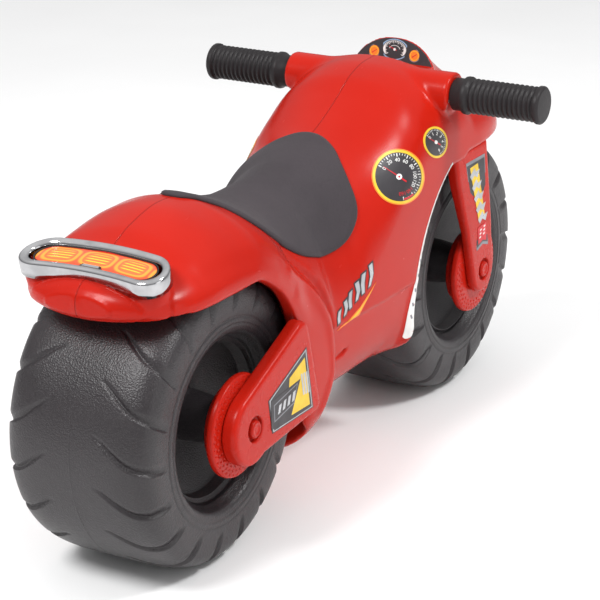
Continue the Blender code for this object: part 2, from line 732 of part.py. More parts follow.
def build():
    clear_scene()
    red = material("red_plastic", (0.70, 0.03, 0.015), 0.22)
    black = material("black_plastic", (0.035, 0.032, 0.034), 0.5)
    foam = material("seat_foam", (0.055, 0.05, 0.054), 0.8)
    chrome = material("chrome_plate", (0.8, 0.8, 0.82), 0.12, 1.0)
    amber = material("amber_lens", (0.95, 0.3, 0.02), 0.2)
    steel = material("steel", (0.55, 0.56, 0.58), 0.35, 1.0)
    print_black = material("printed_black", (0.04, 0.04, 0.045), 0.35)

    frame = bpy.data.objects.new("bike_frame", None)
    bpy.context.collection.objects.link(frame)
    make_body(red, frame)
    clearance = helper("body_clearance", loft([ring(x, -GAP) for x in body_stations(*BODY_STEPS)]))
    make_seat(foam, frame, clearance)
    make_lamp(chrome, amber, frame, clearance)
    make_tube(steel, frame)
    make_dash(print_black, frame)
    for which in ("rear", "front"):
        hub = bpy.data.objects.new(f"{which}_wheel_spin", None)
        hub.location = place(AXLE_X[which], 0.0, WHEEL_R)
        hub.parent = frame
        bpy.context.collection.objects.link(hub)
        bpy.context.view_layer.update()
        make_wheel(which, black, hub)
        make_axle(which, steel, frame)
    for side, label in ((-1, "right"), (1, "left")):
        make_arm(side, label, red, frame)
        make_fork(side, label, red, frame)
        make_grip(side, label, black, frame)
        make_stickers(side, label, print_black, frame)
        for which in ("rear", "front"):
            make_disc(which, side, label, red, frame)
            make_cap(which, side, label, red, frame)


build()
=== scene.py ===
"""The looks of a child's foot-to-floor ride-on motorbike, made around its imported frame.

+X is forward, +Y is the rider's left, +Z is up. Shapes are worked out in millimetres from the rear axle's
foot on the centre plane, and place() turns them into the frame's metres. The smooth moulded pieces are
drawn as distance fields on a grid, negative inside, and then skinned.
"""

import contextlib
import math

import bmesh
import bpy
import numpy as np
import openvdb
from mathutils import Matrix, Vector


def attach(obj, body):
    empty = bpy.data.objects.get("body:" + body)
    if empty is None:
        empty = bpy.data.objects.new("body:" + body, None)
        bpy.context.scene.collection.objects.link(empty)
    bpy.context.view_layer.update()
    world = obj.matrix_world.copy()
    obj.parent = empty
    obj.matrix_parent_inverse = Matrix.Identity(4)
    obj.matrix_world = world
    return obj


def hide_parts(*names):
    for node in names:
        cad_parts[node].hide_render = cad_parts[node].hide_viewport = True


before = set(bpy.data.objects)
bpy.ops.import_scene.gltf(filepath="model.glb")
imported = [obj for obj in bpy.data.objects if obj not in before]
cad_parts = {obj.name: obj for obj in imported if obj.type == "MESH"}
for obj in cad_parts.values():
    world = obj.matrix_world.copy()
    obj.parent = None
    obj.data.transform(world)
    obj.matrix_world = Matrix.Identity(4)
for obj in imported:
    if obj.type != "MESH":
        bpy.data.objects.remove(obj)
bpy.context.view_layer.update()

MM = 0.001
SIDES = ((-1, "right"), (1, "left"))

# Driving dimensions, as in the part
WHEELBASE = 500.0
WHEEL_R = 139.0
BODY_HALF = 89.0
BAR_HALF = 192.0
BAR_X, BAR_Z = 421.0, 350.0
AXLE_X = {"rear": 0.0, "front": WHEELBASE}
TYRE_HALF = {"rear": 76.0, "front": 70.0}
SIDE_OUTER = {"rear": 105.0, "front": 95.5}
DISC_OUTER = {"rear": 90.0, "front": 86.0}
RECESS = {"rear": 100.0, "front": 91.1}
ARCH_R = {"rear": 151.0, "front": 153.0}
ARCH_HALF = {"rear": 80.0, "front": 78.0}
AXLE_R = 6.3
DISC_R = 48.5
CAP_R = 12.0
SLEEVE_R = 21.5
SLEEVE_END = 94.0
GRIP_R = 16.6
GRIP_RIBS = 13
FLANGE_R = 19.4
COWL_STEP = 272.0
ARM_POCKET = 90.0

# The body's sections along x: crown and keel heights, half-width, where the straight side starts and ends,
# and how square each rounding is (2 is an ellipse).
CROWN = [(-122, 281), (-115, 290), (-100, 298), (-60, 313), (-37, 323), (11, 332), (35, 331), (60, 323),
         (100, 309), (145, 303), (200, 308), (250, 317), (287, 326), (318, 339), (344, 353), (371, 369),
         (402, 377), (424, 378), (440, 371), (458, 358), (480, 348), (520, 332), (560, 312), (590, 295),
         (608, 284), (616, 275)]
KEEL = [(-122, 270), (-115, 262), (-90, 258), (0, 257), (30, 259), (60, 250), (80, 232), (95, 200),
        (108, 130), (122, 70), (140, 49), (165, 49), (190, 62), (230, 76), (300, 84), (343, 88),
        (380, 120), (440, 250), (470, 268), (600, 269), (616, 270)]
HALF_MIDDLE = [(-20, 89), (40, 91), (100, 93), (150, 93.5), (172, 91), (188, 86), (210, 87), (260, 90),
               (343, 92), (480, 91)]
SIDE_HIGH = [(-122, 275), (-60, 272), (30, 272), (80, 245), (130, 185), (190, 160), (222, 168), (247, 196),
             (262, 210), (280, 226), (300, 246), (320, 265), (340, 278), (360, 286), (380, 291), (421, 304),
             (450, 304), (480, 290), (560, 285), (616, 273)]
SIDE_LOW = [(-122, 272), (-60, 268), (30, 268), (70, 245), (95, 215), (130, 140), (200, 150), (300, 150),
            (343, 140), (400, 200), (470, 281), (560, 281), (616, 272)]
SQUARE_UP = [(-122, 2.0), (-60, 1.8), (20, 1.8), (70, 2.0), (130, 1.85), (190, 1.75), (222, 1.8),
             (255, 2.0), (300, 2.0), (340, 2.1), (380, 2.2), (616, 2.2)]
SQUARE_LOW = [(-122, 2.0), (60, 2.2), (140, 2.6), (200, 2.4), (300, 2.8), (343, 3.6), (480, 2.2), (616, 2.0)]
TAIL_ROUND = (-20.0, 102.0, 2.5)
NOSE_ROUND = (480.0, 136.5, 2.3)
BODY_ENDS = (-121.5, 616.0)

HOOD_CROWN = [(462, 388), (470, 383.5), (480, 377), (500, 364), (525, 345), (548, 322)]
HOOD_HALF = [(462, 51), (470, 48), (480, 45), (500, 40), (525, 33), (548, 24)]
HOOD_FOOT = 285.0
HOOD_SHOULDER = 342.0
HOOD_LEAN = 0.28
HOOD_ENDS = (462.0, 548.0)
HOOD_POWER = 2.1
LEAN_FROM = 345.0
LEAN_FADE = 60.0

PAD_REACH = [(32, 6), (38, 14), (50, 22), (63, 34), (72, 52), (82, 63), (95, 70), (116, 77), (152, 91),
             (192, 100), (224, 104), (240, 100), (251, 89), (259, 66), (267, 49), (279, 31), (288, 10)]
PAD_MIDDLE = 165.0
PAD_TOP = 3.4
PAD_EDGE = 3.6
PAD_UNDER = -0.4
SECTION_STEP = 2.0

LAMP_POINT = (-85.0, 309.0)
LAMP_SLOPE = math.radians(14.0)
LAMP_HALF = (74.0, 23.5)
LENS_HALF = (61.0, 14.0)
LAMP_BEND = 0.0016
LAMP_WALL = 16.0

# Raised and sunken lines on the body's side, as (x, z) paths
HIP_VALLEY = [(112, 266), (132, 245), (156, 222), (173, 195), (179, 165), (181, 140), (172, 110), (158, 75)]
HIP_RIDGE = [(96, 258), (122, 238), (143, 216), (160, 190), (166, 160), (168, 133), (150, 101)]
ROLL_GROOVE = [(-45, 292), (0, 291), (35, 286), (70, 266), (95, 240)]
CREASE_Z = 172.0
SLIT = [(191, 133), (221, 140), (214, 133)]
SLIT_DEPTH = 75.0
SCOOP = ((416.0, 97.5, 338.0), (449.0, 102.0, 300.0))
SIDE_PLANE = 88.0

# Each dial on the tank: its centre, the direction it is laid on from, and its radius
GAUGES = {"speedometer": ((314.5, -85.0, 288.6), (-0.82, -0.48, 0.31), 27.8),
          "rev_gauge": ((386.9, -89.0, 306.5), (-0.76, -0.56, 0.33), 15.8)}
LEFT_GAUGE_SHIFT = (20.0, 0.0, -16.0)

# Printed stickers: the ink's thickness, how much each level adds, and how far its foot is sunk
INK_THICK = 0.3
INK_LEVEL = 0.1
INK_FOOT = -0.3
CELL_SHIFT = 0.013

# Dropping points onto the body: how far out the search starts, and its steps
DROP_REACH = 46.0
DROP_STEP = 0.75


def place(points):
    """Points in millimetres from the rear axle's foot, in metres in the frame."""
    out = np.array(points, float)
    out[..., 0] -= WHEELBASE / 2
    return out * MM


def curve(table):
    """A function of x through the table's points, with no overshoot between them."""
    xs, ys = np.array(table, float).T
    steps = np.diff(xs)
    slopes = np.diff(ys) / steps
    tangents = np.concatenate([slopes[:1], np.zeros(len(xs) - 2), slopes[-1:]])
    left, right = 2 * steps[1:] + steps[:-1], steps[1:] + 2 * steps[:-1]
    rising = slopes[:-1] * slopes[1:] > 0
    safe = [np.where(rising, s, 1.0) for s in (slopes[:-1], slopes[1:])]
    tangents[1:-1] = np.where(rising, (left + right) / (left / safe[0] + right / safe[1]), 0.0)

    def value(x):
        x = np.clip(x, xs[0], xs[-1])
        i = np.clip(np.searchsorted(xs, x, side="right") - 1, 0, len(steps) - 1)
        h = steps[i]
        t = (x - xs[i]) / h
        start = ys[i] * (1 + 2 * t) * (1 - t) ** 2 + tangents[i] * h * t * (1 - t) ** 2
        return start + ys[i + 1] * t * t * (3 - 2 * t) - tangents[i + 1] * h * t * t * (1 - t)

    return value


def smoothstep(value, low, high):
    t = np.clip((value - low) / (high - low), 0, 1)
    return t * t * (3 - 2 * t)


def join(a, b, soft):
    """The union of two fields, with a fillet."""
    h = np.clip(0.5 + 0.5 * (b - a) / soft, 0, 1)
    return b + (a - b) * h - soft * h * (1 - h)


def cut(a, b, soft):
    """Field a with b taken away, and the edge rounded."""
    return -join(-a, b, soft)


def both(a, b, soft):
    """Where the two fields overlap, with the edge rounded."""
    return -join(-a, -b, soft)


def path_distance(path, x, z):
    """How far (x, z) is from a line through the points."""
    best = None
    for (x0, z0), (x1, z1) in zip(path, path[1:]):
        along = ((x - x0) * (x1 - x0) + (z - z0) * (z1 - z0)) / ((x1 - x0) ** 2 + (z1 - z0) ** 2)
        along = np.clip(along, 0, 1)
        far = np.hypot(x - x0 - along * (x1 - x0), z - z0 - along * (z1 - z0))
        best = far if best is None else np.minimum(best, far)
    return best


def outline_distance(outline, x, z):
    """Signed distance from a closed outline, negative inside."""
    inside = np.zeros(np.broadcast(x, z).shape, bool)
    closed = list(outline) + [outline[0]]
    for (x0, z0), (x1, z1) in zip(closed, closed[1:]):
        if z0 != z1:
            crosses = (z0 > z) != (z1 > z)
            inside ^= crosses & (x < (x1 - x0) * (z - z0) / (z1 - z0) + x0)
    far = path_distance(closed, x, z)
    return np.where(inside, -far, far)


def arc(x, z, radius, start, end, steps):
    """Points of an arc in side view, with angles in degrees from forward, turning up."""
    for i in range(steps + 1):
        angle = math.radians(start + (end - start) * i / steps)
        yield x + radius * math.cos(angle), z + radius * math.sin(angle)


class Grid:
    """Evenly spaced points in a box, in millimetres, and the fields on them."""

    def __init__(self, low, high, step):
        self.low = np.array(low, float)
        self.step = step
        axes = [np.arange(a, b + step / 2, step) for a, b in zip(low, high)]
        self.x, self.y, self.z = axes[0][:, None, None], axes[1][None, :, None], axes[2][None, None, :]

    def distance(self, shape):
        """A field from a shape function that is 1 on the surface."""
        slopes = np.gradient(shape, self.step)
        return (shape - 1) / np.maximum(np.sqrt(sum(s * s for s in slopes)), 1e-4)


class Surface:
    """A finished field that points can be dropped onto."""

    def __init__(self, field, low, step):
        self.field, self.low, self.step = field, np.array(low, float), step

    def sample(self, points):
        at = (points - self.low) / self.step
        top = np.array(self.field.shape) - 2
        i = np.clip(np.floor(at).astype(int), 0, top)
        f = np.clip(at - i, 0, 1)
        total = 0.0
        for corner in np.ndindex(2, 2, 2):
            weight = np.prod(np.where(corner, f, 1 - f), axis=-1)
            j = i + corner
            total = total + weight * self.field[j[..., 0], j[..., 1], j[..., 2]]
        return total

    def normal(self, points, reach):
        out = []
        for axis in np.eye(3) * reach:
            out.append(self.sample(points + axis) - self.sample(points - axis))
        out = np.stack(out, axis=-1)
        return out / np.maximum(np.linalg.norm(out, axis=-1, keepdims=True), 1e-9)

    def drop(self, points, out, reach=DROP_REACH):
        """The outermost surface point on the line through each point along out."""
        steps = np.arange(reach, -reach, -DROP_STEP)
        values = np.stack([self.sample(points + out * s) for s in steps])
        hit = np.argmax(values < 0, axis=0)
        hit = np.clip(hit, 1, len(steps) - 1)
        pick = np.arange(len(points))
        before, after = values[hit - 1, pick], values[hit, pick]
        share = np.clip(before / np.where(before - after == 0, 1, before - after), 0, 1)
        return points + out * (steps[hit - 1] - DROP_STEP * share)[:, None]


def add_object(name, data):
    obj = bpy.data.objects.new(name, data)
    bpy.context.scene.collection.objects.link(obj)
    return obj


def finish_mesh(name, points, faces, finish):
    """A smooth object from points in millimetres and faces of equal size."""
    points, faces = place(points), np.asarray(faces, np.int32)
    mesh = bpy.data.meshes.new(name)
    mesh.vertices.add(len(points))
    mesh.vertices.foreach_set("co", points.astype(np.float32).ravel())
    mesh.loops.add(faces.size)
    mesh.loops.foreach_set("vertex_index", faces.ravel())
    mesh.polygons.add(len(faces))
    mesh.polygons.foreach_set("loop_start", np.arange(0, faces.size, faces.shape[1], dtype=np.int32))
    mesh.update(calc_edges=True)
    mesh.validate()
    mesh.materials.append(finish)
    mesh.shade_smooth()
    return add_object(name, mesh)


@contextlib.contextmanager
def edited(obj):
    """The object's mesh as a bmesh, which is written back and shaded smooth."""
    bm = bmesh.new()
    bm.from_mesh(obj.data)
    yield bm
    bm.to_mesh(obj.data)
    bm.free()
    obj.data.shade_smooth()


def quads_between(rows, count, closed=False):
    """Faces between neighbouring rings of points. closed joins the last ring to the first."""
    index = np.arange(rows * count).reshape(rows, count)
    before, after = (index, np.roll(index, -1, axis=0)) if closed else (index[:-1], index[1:])
    corners = [before, np.roll(before, -1, axis=1), np.roll(after, -1, axis=1), after]
    return np.stack(corners, axis=-1).reshape(-1, 4)


def facing_out(points, quads):
    """The faces, turned over if they face inwards."""
    corners = points[quads]
    volume = np.einsum("ij,ij->i", corners[:, 0], np.cross(corners[:, 1], corners[:, 2])).sum()
    return quads[:, ::-1] if volume < 0 else quads


def relaxed(points, faces, rounds):
    """Points moved towards their neighbours and back, which takes off the grid's steps."""
    a, b = faces.ravel(), np.roll(faces, -1, axis=1).ravel()
    total = len(points)
    count = np.maximum(np.bincount(a, minlength=total) + np.bincount(b, minlength=total), 1)
    for pull in [0.5, -0.52] * rounds:
        near = np.empty_like(points)
        for axis in range(3):
            along = points[:, axis]
            near[:, axis] = np.bincount(a, along[b], total) + np.bincount(b, along[a], total)
        points = points + pull * (near / count[:, None] - points)
    return points


def skin(name, field, low, step, finish, rounds):
    """A mesh over the zero surface of a field."""
    volume = openvdb.FloatGrid(10.0)
    volume.copyFromArray(np.clip(field, -10, 10).astype(np.float32))
    points, _, quads = volume.convertToPolygons(isovalue=0.0, adaptivity=0.0)
    points = np.asarray(points, float) * step + np.array(low, float)
    quads = facing_out(points, quads)
    return finish_mesh(name, relaxed(points, quads, rounds), quads, finish)


def dress(obj, body, slot, *nodes):
    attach(obj, body)
    if nodes:
        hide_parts(*nodes)
    return obj


# ---- materials ----

class Shader:
    """A material's nodes. Lengths in it are metres on the object's own axes."""

    def __init__(self, name, roughness, metallic=0.0, coat=0.0, coat_roughness=0.1):
        self.material = bpy.data.materials.new(name)
        self.material.use_nodes = True
        self.tree = self.material.node_tree
        self.out = self.tree.nodes["Principled BSDF"]
        self.set("Roughness", roughness)
        self.set("Metallic", metallic)
        self.set("Coat Weight", coat)
        self.set("Coat Roughness", coat_roughness)
        self.where = self.tree.nodes.new("ShaderNodeTexCoord").outputs["Object"]
        self.height = None

    def put(self, socket, value):
        """Links another socket, or sets a number or a colour."""
        if isinstance(value, bpy.types.NodeSocket):
            self.tree.links.new(value, socket)
        else:
            socket.default_value = (*value, 1.0) if isinstance(value, tuple) else value

    def set(self, name, value):
        self.put(self.out.inputs[name], value)

    def math(self, operation, a, b=0.0):
        node = self.tree.nodes.new("ShaderNodeMath")
        node.operation = operation
        self.put(node.inputs[0], a)
        self.put(node.inputs[1], b)
        return node.outputs[0]

    def plus(self, a, b):
        return self.math("ADD", a, b)

    def minus(self, a, b):
        return self.math("SUBTRACT", a, b)

    def times(self, a, b):
        return self.math("MULTIPLY", a, b)

    def size(self, value, unit):
        """How many units the value is from zero."""
        return self.math("DIVIDE", self.math("ABSOLUTE", value), unit)

    def axis(self, name, of=None):
        node = self.tree.nodes.new("ShaderNodeSeparateXYZ")
        self.tree.links.new(of or self.where, node.inputs[0])
        return node.outputs[name]

    def noise(self, scale, detail=2.0, stretch=None, rough=0.5):
        node = self.tree.nodes.new("ShaderNodeTexNoise")
        node.inputs["Scale"].default_value = scale
        node.inputs["Detail"].default_value = detail
        node.inputs["Roughness"].default_value = rough
        source = self.where
        if stretch:
            mapping = self.tree.nodes.new("ShaderNodeMapping")
            mapping.inputs["Scale"].default_value = stretch
            mapping.inputs["Rotation"].default_value = (0.3, 0.5, 0.4)
            self.tree.links.new(source, mapping.inputs["Vector"])
            source = mapping.outputs[0]
        self.tree.links.new(source, node.inputs["Vector"])
        return node.outputs["Fac"]

    def cells(self, scale):
        node = self.tree.nodes.new("ShaderNodeTexVoronoi")
        node.inputs["Scale"].default_value = scale
        self.tree.links.new(self.where, node.inputs["Vector"])
        return node.outputs["Distance"]

    def between(self, value, low, high, to_low=0.0, to_high=1.0):
        """A smooth step of value from low to high."""
        node = self.tree.nodes.new("ShaderNodeMapRange")
        node.interpolation_type = "SMOOTHSTEP"
        for name, number in (("From Min", low), ("From Max", high), ("To Min", to_low), ("To Max", to_high)):
            node.inputs[name].default_value = number
        self.put(node.inputs["Value"], value)
        return node.outputs["Result"]

    def mix(self, share, a, b):
        node = self.tree.nodes.new("ShaderNodeMix")
        node.data_type = "RGBA"
        self.put(node.inputs["Factor"], share)
        self.put(node.inputs["A"], a)
        self.put(node.inputs["B"], b)
        return node.outputs["Result"]

    def bump(self, value, height):
        """Adds relief: value runs 0 to 1 and stands for a height in metres."""
        node = self.tree.nodes.new("ShaderNodeBump")
        node.inputs["Distance"].default_value = height
        self.put(node.inputs["Height"], value)
        if self.height:
            self.tree.links.new(self.height, node.inputs["Normal"])
        self.height = node.outputs["Normal"]
        self.tree.links.new(self.height, self.out.inputs["Normal"])


def darker(colour, share):
    return tuple(c * share for c in colour)


def moulded(name, colour, shade, roughness, ripple, grain, seam=False):
    """Blow-moulded plastic: slow colour drift, faint ripples, a fine grain and a few rubbed streaks.

    ripple and grain are each a noise scale and a height in metres. seam adds the mould's line at y = 0.
    """
    shader = Shader(name, roughness)
    shader.set("Specular IOR Level", 0.15)
    drift = shader.between(shader.noise(9.0, 3.0), 0.3, 0.7)
    base = shader.mix(drift, colour, shade)
    speck = shader.between(shader.noise(300.0, 2.0), 0.60, 0.80, 0.0, 0.08)
    base = shader.mix(speck, base, darker(colour, 0.6))
    rub = shader.between(shader.noise(60.0, 4.0, (1.0, 9.0, 1.0)), 0.6, 0.74)
    rough = shader.plus(shader.times(shader.noise(60.0, 2.0), 0.08), roughness - 0.04)
    shader.set("Roughness", shader.plus(rough, shader.times(rub, 0.03)))
    shader.bump(shader.noise(ripple[0], 2.0), ripple[1])
    shader.bump(shader.noise(grain[0], 2.0, rough=0.6), grain[1])
    if seam:
        line = shader.between(shader.math("ABSOLUTE", shader.axis("Y")), 0.0003, 0.0009, 1.0, 0.0)
        shader.bump(line, -0.0004)
        base = shader.mix(shader.times(line, 0.45), base, darker(colour, 0.35))
    shader.set("Base Color", base)
    return shader.material


def tyre_material(name):
    """Dark polyethylene with a leathery grain, and lighter flecks at its pits that are painted glints."""
    shader = Shader(name, 0.5)
    shader.set("Specular IOR Level", 0.45)
    drift = shader.between(shader.noise(14.0, 4.0), 0.3, 0.7)
    base = shader.mix(drift, (0.0155, 0.0125, 0.0142), (0.0225, 0.0186, 0.0208))
    pits = shader.cells(620.0)
    # Painted glints: lighter flecks at the centres of the grain's cells.
    painted_pit_glints = shader.between(pits, 0.0, 0.5, 0.35, 0.0)
    shader.set("Base Color", shader.mix(painted_pit_glints, base, (0.06, 0.054, 0.056)))
    shader.set("Roughness", shader.plus(shader.times(shader.noise(220.0, 3.0), 0.16), 0.30))
    shader.bump(shader.noise(22.0, 2.0), 0.0006)
    shader.bump(pits, 0.00028)
    shader.bump(shader.noise(1600.0, 2.0), 0.00012)
    return shader.material


def foam_material(name):
    """The seat pad's closed-cell foam: matt, finely pitted, a little lighter where it is rubbed."""
    shader = Shader(name, 0.82)
    shader.set("Specular IOR Level", 0.25)
    drift = shader.between(shader.noise(11.0, 3.0), 0.3, 0.7)
    base = shader.mix(drift, (0.034, 0.028, 0.032), (0.045, 0.037, 0.042))
    pores = shader.between(shader.cells(1100.0), 0.05, 0.4, 0.0, 1.0)
    shader.set("Base Color", shader.mix(pores, (0.024, 0.020, 0.023), base))
    shader.set("Roughness", shader.plus(shader.times(shader.noise(300.0), 0.14), 0.70))
    shader.set("Sheen Weight", 0.04)
    shader.set("Sheen Roughness", 0.5)
    shader.bump(shader.noise(60.0, 3.0), 0.0006)
    shader.bump(pores, 0.00016)
    return shader.material


def metal(name, colour, roughness, streaks):
    """Plated or drawn metal with a painted reflection, darker on its walls and underside and lighter where it
    faces up, with faint streaks and finger haze.
    """
    shader = Shader(name, roughness, metallic=1.0)
    haze = shader.between(shader.noise(45.0, 3.0), 0.35, 0.75)
    # Painted reflection: the colour darkens where the surface faces sideways or down, and lightens where it faces
    # up.
    facing = shader.tree.nodes.new("ShaderNodeNewGeometry").outputs["Normal"]
    upward = shader.between(shader.axis("Z", facing), 0.1, 0.9)
    painted_reflection = shader.mix(upward, darker(colour, 0.42), darker(colour, 0.85))
    shader.set("Base Color", shader.mix(haze, painted_reflection, darker(colour, 0.62)))
    line = shader.noise(240.0, 2.0, (1.0, 14.0, 1.0))
    rough = shader.plus(shader.times(haze, roughness * 0.6), roughness * 0.7)
    shader.set("Roughness", shader.plus(rough, shader.times(line, streaks)))
    shader.bump(shader.noise(35.0, 2.0), 0.00025)
    return shader.material


def ink(name, colour, roughness=0.38, metallic=0.0):
    """Printed vinyl: nearly flat colour under a thin film, with a faint weave of print dots."""
    shader = Shader(name, roughness, metallic, coat=0.04, coat_roughness=0.2)
    shader.set("Specular IOR Level", 0.2)
    fade = shader.between(shader.noise(70.0, 3.0), 0.3, 0.75)
    base = shader.mix(fade, colour, darker(colour, 0.82))
    dots = shader.between(shader.cells(2600.0), 0.1, 0.5, 0.0, 0.12)
    shader.set("Base Color", shader.mix(dots, base, darker(colour, 0.7)))
    shader.set("Roughness", shader.plus(shader.times(fade, 0.12), roughness - 0.05))
    shader.bump(shader.noise(180.0, 2.0), 0.00012)
    return shader.material


def lens_material(name):
    """Translucent orange plastic with three patterns of fine bars in a painted glow, on the lamp's own axes."""
    shader = Shader(name, 0.16, coat=0.6, coat_roughness=0.05)
    across = shader.axis("Y")
    back = shader.minus(shader.axis("X"), (LAMP_POINT[0] - WHEELBASE / 2) * MM)
    rise = shader.minus(shader.axis("Z"), LAMP_POINT[1] * MM)
    along = shader.plus(shader.times(back, -math.cos(LAMP_SLOPE)), shader.times(rise, -math.sin(LAMP_SLOPE)))
    along = shader.minus(along, shader.times(shader.times(across, across), LAMP_BEND / MM))
    pitch, half_wide, half_tall, power, bar_pitch = 0.037, 0.0155, 0.0100, 3.5, 0.0038
    middle = shader.times(shader.math("ROUND", shader.math("DIVIDE", across, pitch)), pitch)
    wide, tall = shader.size(shader.minus(across, middle), half_wide), shader.size(along, half_tall)
    box = shader.plus(shader.math("POWER", wide, power), shader.math("POWER", tall, power))
    box = shader.math("POWER", box, 1 / power)
    # Painted glow: the bars, the rims and the middle of each pattern are lighter and yellower.
    rim = shader.times(shader.between(box, 0.86, 0.96, 0.0, 0.45), shader.between(box, 1.04, 1.2, 1.0, 0.0))
    bars = shader.between(shader.math("SINE", shader.times(along, 2 * math.pi / bar_pitch)), -0.1, 0.8)
    glow = shader.math("MAXIMUM", rim, shader.times(bars, shader.between(box, 0.55, 0.86, 1.0, 0.0)))
    base = shader.mix(shader.between(box, 0.5, 1.5, 0.7, 0.0), (0.70, 0.055, 0.010), (0.78, 0.16, 0.015))
    base = shader.mix(glow, base, (0.80, 0.50, 0.02))
    shader.set("Base Color", base)
    # The faint emission is a painted glow over the whole lens.
    shader.set("Emission Color", base)
    shader.set("Emission Strength", 0.10)
    shader.bump(glow, 0.0005)
    shader.bump(shader.noise(240.0, 2.0), 0.0001)
    return shader.material


RED = moulded("red_plastic_gloss", (0.43, 0.012, 0.005), (0.39, 0.010, 0.004), 0.24,
              (14.0, 0.0006), (300.0, 0.000012), seam=True)
RED_PLAIN = moulded("red_plastic_parts", (0.445, 0.012, 0.005), (0.40, 0.010, 0.004), 0.27,
                    (20.0, 0.0004), (300.0, 0.000015))
TYRE = tyre_material("black_plastic_tyre")
RUBBER = moulded("black_plastic_grip", (0.020, 0.018, 0.019), (0.028, 0.025, 0.026), 0.42,
                 (120.0, 0.0003), (1400.0, 0.00006))
FOAM = foam_material("seat_foam_fine")
CHROME = metal("chrome_plate_lamp", (0.80, 0.80, 0.82), 0.09, 0.04)
STEEL = metal("steel_drawn", (0.52, 0.53, 0.55), 0.30, 0.12)
LENS = lens_material("amber_lens_painted_glow")
INKS = {
    "charcoal": ink("print_charcoal", (0.045, 0.042, 0.046)),
    "silver": ink("print_silver", (0.50, 0.51, 0.53), 0.32, 0.55),
    "white": ink("print_white", (0.80, 0.80, 0.78)),
    "yellow": ink("print_yellow", (0.78, 0.52, 0.04)),
    "orange": ink("print_orange", (0.85, 0.22, 0.03)),
    "red": ink("print_red", (0.60, 0.02, 0.03)),
    "blue": ink("print_blue", (0.28, 0.42, 0.60)),
    "grey": ink("print_grey", (0.22, 0.22, 0.24)),
}


# ---- the body ----

crown_at, keel_at, half_middle_at = curve(CROWN), curve(KEEL), curve(HALF_MIDDLE)
high_at, low_at = curve(SIDE_HIGH), curve(SIDE_LOW)
square_up_at, square_low_at = curve(SQUARE_UP), curve(SQUARE_LOW)


def rounded_end(x, end):
    start, length, power = end
    along = np.clip((x - start) / length * (1 if start > 0 else -1), 0, 1)
    return (1.0 - along**power) ** (1.0 / power)


def half_at(x):
    tail = BODY_HALF * rounded_end(x, TAIL_ROUND)
    nose = half_middle_at(NOSE_ROUND[0]) * rounded_end(x, NOSE_ROUND)
    half = np.where(x < TAIL_ROUND[0], tail, np.where(x > NOSE_ROUND[0], nose, half_middle_at(x)))
    return np.maximum(half, 2.0)


def section_heights(x):
    """Keel, the straight side's two ends, and crown."""
    crown, keel = crown_at(x), keel_at(x)
    middle = (high_at(x) + low_at(x)) / 2
    high = np.minimum(np.maximum(high_at(x), middle), crown - 2.0)
    low = np.maximum(np.minimum(low_at(x), high - 0.5), keel + 2.0)
    high = np.maximum(high, low + 0.5)
    return keel, low, high, np.maximum(crown, high + 2.0)


def side_relief(x, z):
    """How far the side stands out from its plain section."""
    valley = path_distance(HIP_VALLEY, x, z)
    ridge = path_distance(HIP_RIDGE, x, z)
    groove = path_distance(ROLL_GROOVE, x, z)
    relief = 2.4 * np.exp(-((ridge / 7.0) ** 2)) - 6.5 * np.exp(-((valley / 5.0) ** 2))
    relief = relief - 1.8 * np.exp(-((groove / 9.0) ** 2))
    panel = smoothstep(x, 176.0, 190.0) * (1 - smoothstep(x, 330.0, 352.0))
    below = np.clip(CREASE_Z - z, 0, 60.0)
    return relief - panel * (0.17 * below + 1.8 * smoothstep(below, 0.0, 2.5))


def main_form(grid):
    """The moulded body's plain form, as a field."""
    x, y, z = grid.x, grid.y, grid.z
    keel, low, high, crown = section_heights(x)
    above = z > high
    rise = np.where(above, (z - high) / (crown - high), (low - z) / (low - keel))
    rise = np.maximum(rise, 0.0)
    square = np.where(above, square_up_at(x), square_low_at(x))
    across = y / (half_at(x) + side_relief(x, z) * smoothstep(half_at(x), 20.0, 60.0))
    shape = (across**square + rise**square) ** (1 / square)
    field = grid.distance(shape)
    return both(field, np.maximum(BODY_ENDS[0] - x, x - BODY_ENDS[1]), 2.0)


def hood_field(grid):
    """The hood in front of the handlebar: domed across, and cut off behind by the dash's leaning face."""
    x, y, z = grid.x, grid.y, grid.z
    fade = np.clip(1.0 - (x - HOOD_ENDS[0]) / LEAN_FADE, 0, 1)
    at = x - HOOD_LEAN * fade * (z - LEAN_FROM)
    top, half = curve(HOOD_CROWN)(at), curve(HOOD_HALF)(at)
    shoulder = np.where(top > 350, HOOD_SHOULDER, (top + HOOD_FOOT) / 2)
    rise = np.clip((z - shoulder) / np.maximum(top - shoulder, 2.0), 0, None)
    field = grid.distance(((y / half) ** HOOD_POWER + rise**HOOD_POWER) ** (1 / HOOD_POWER))
    face = (HOOD_ENDS[0] - at) / math.hypot(1, HOOD_LEAN)
    solid = both(field, np.maximum(face, at - HOOD_ENDS[1]), 1.8)
    return both(solid, HOOD_FOOT - z, 2.0)


def lamp_axes(x, y, z):
    """The lamp's own axes: along its slope, and out of its face."""
    c, s = math.cos(LAMP_SLOPE), math.sin(LAMP_SLOPE)
    dx, dz = x - LAMP_POINT[0], z - LAMP_POINT[1]
    return -dx * c - dz * s - LAMP_BEND * y * y, -dx * s + dz * c


def stadium(across, along, half):
    long, wide = half
    return np.hypot(np.maximum(np.abs(across) - (long - wide), 0), along) - wide


def arm_outline(grow=0.0):
    radius = 35.0 + grow
    rear = list(arc(0.0, WHEEL_R, radius, 115, 300, 30))
    front = list(arc(112.0 - grow, 124.0, 9.0 + grow, 290, 365, 8))
    top = list(arc(86.0, 199.0, 14.0 + grow, 20, 125, 12))
    return rear + front + top


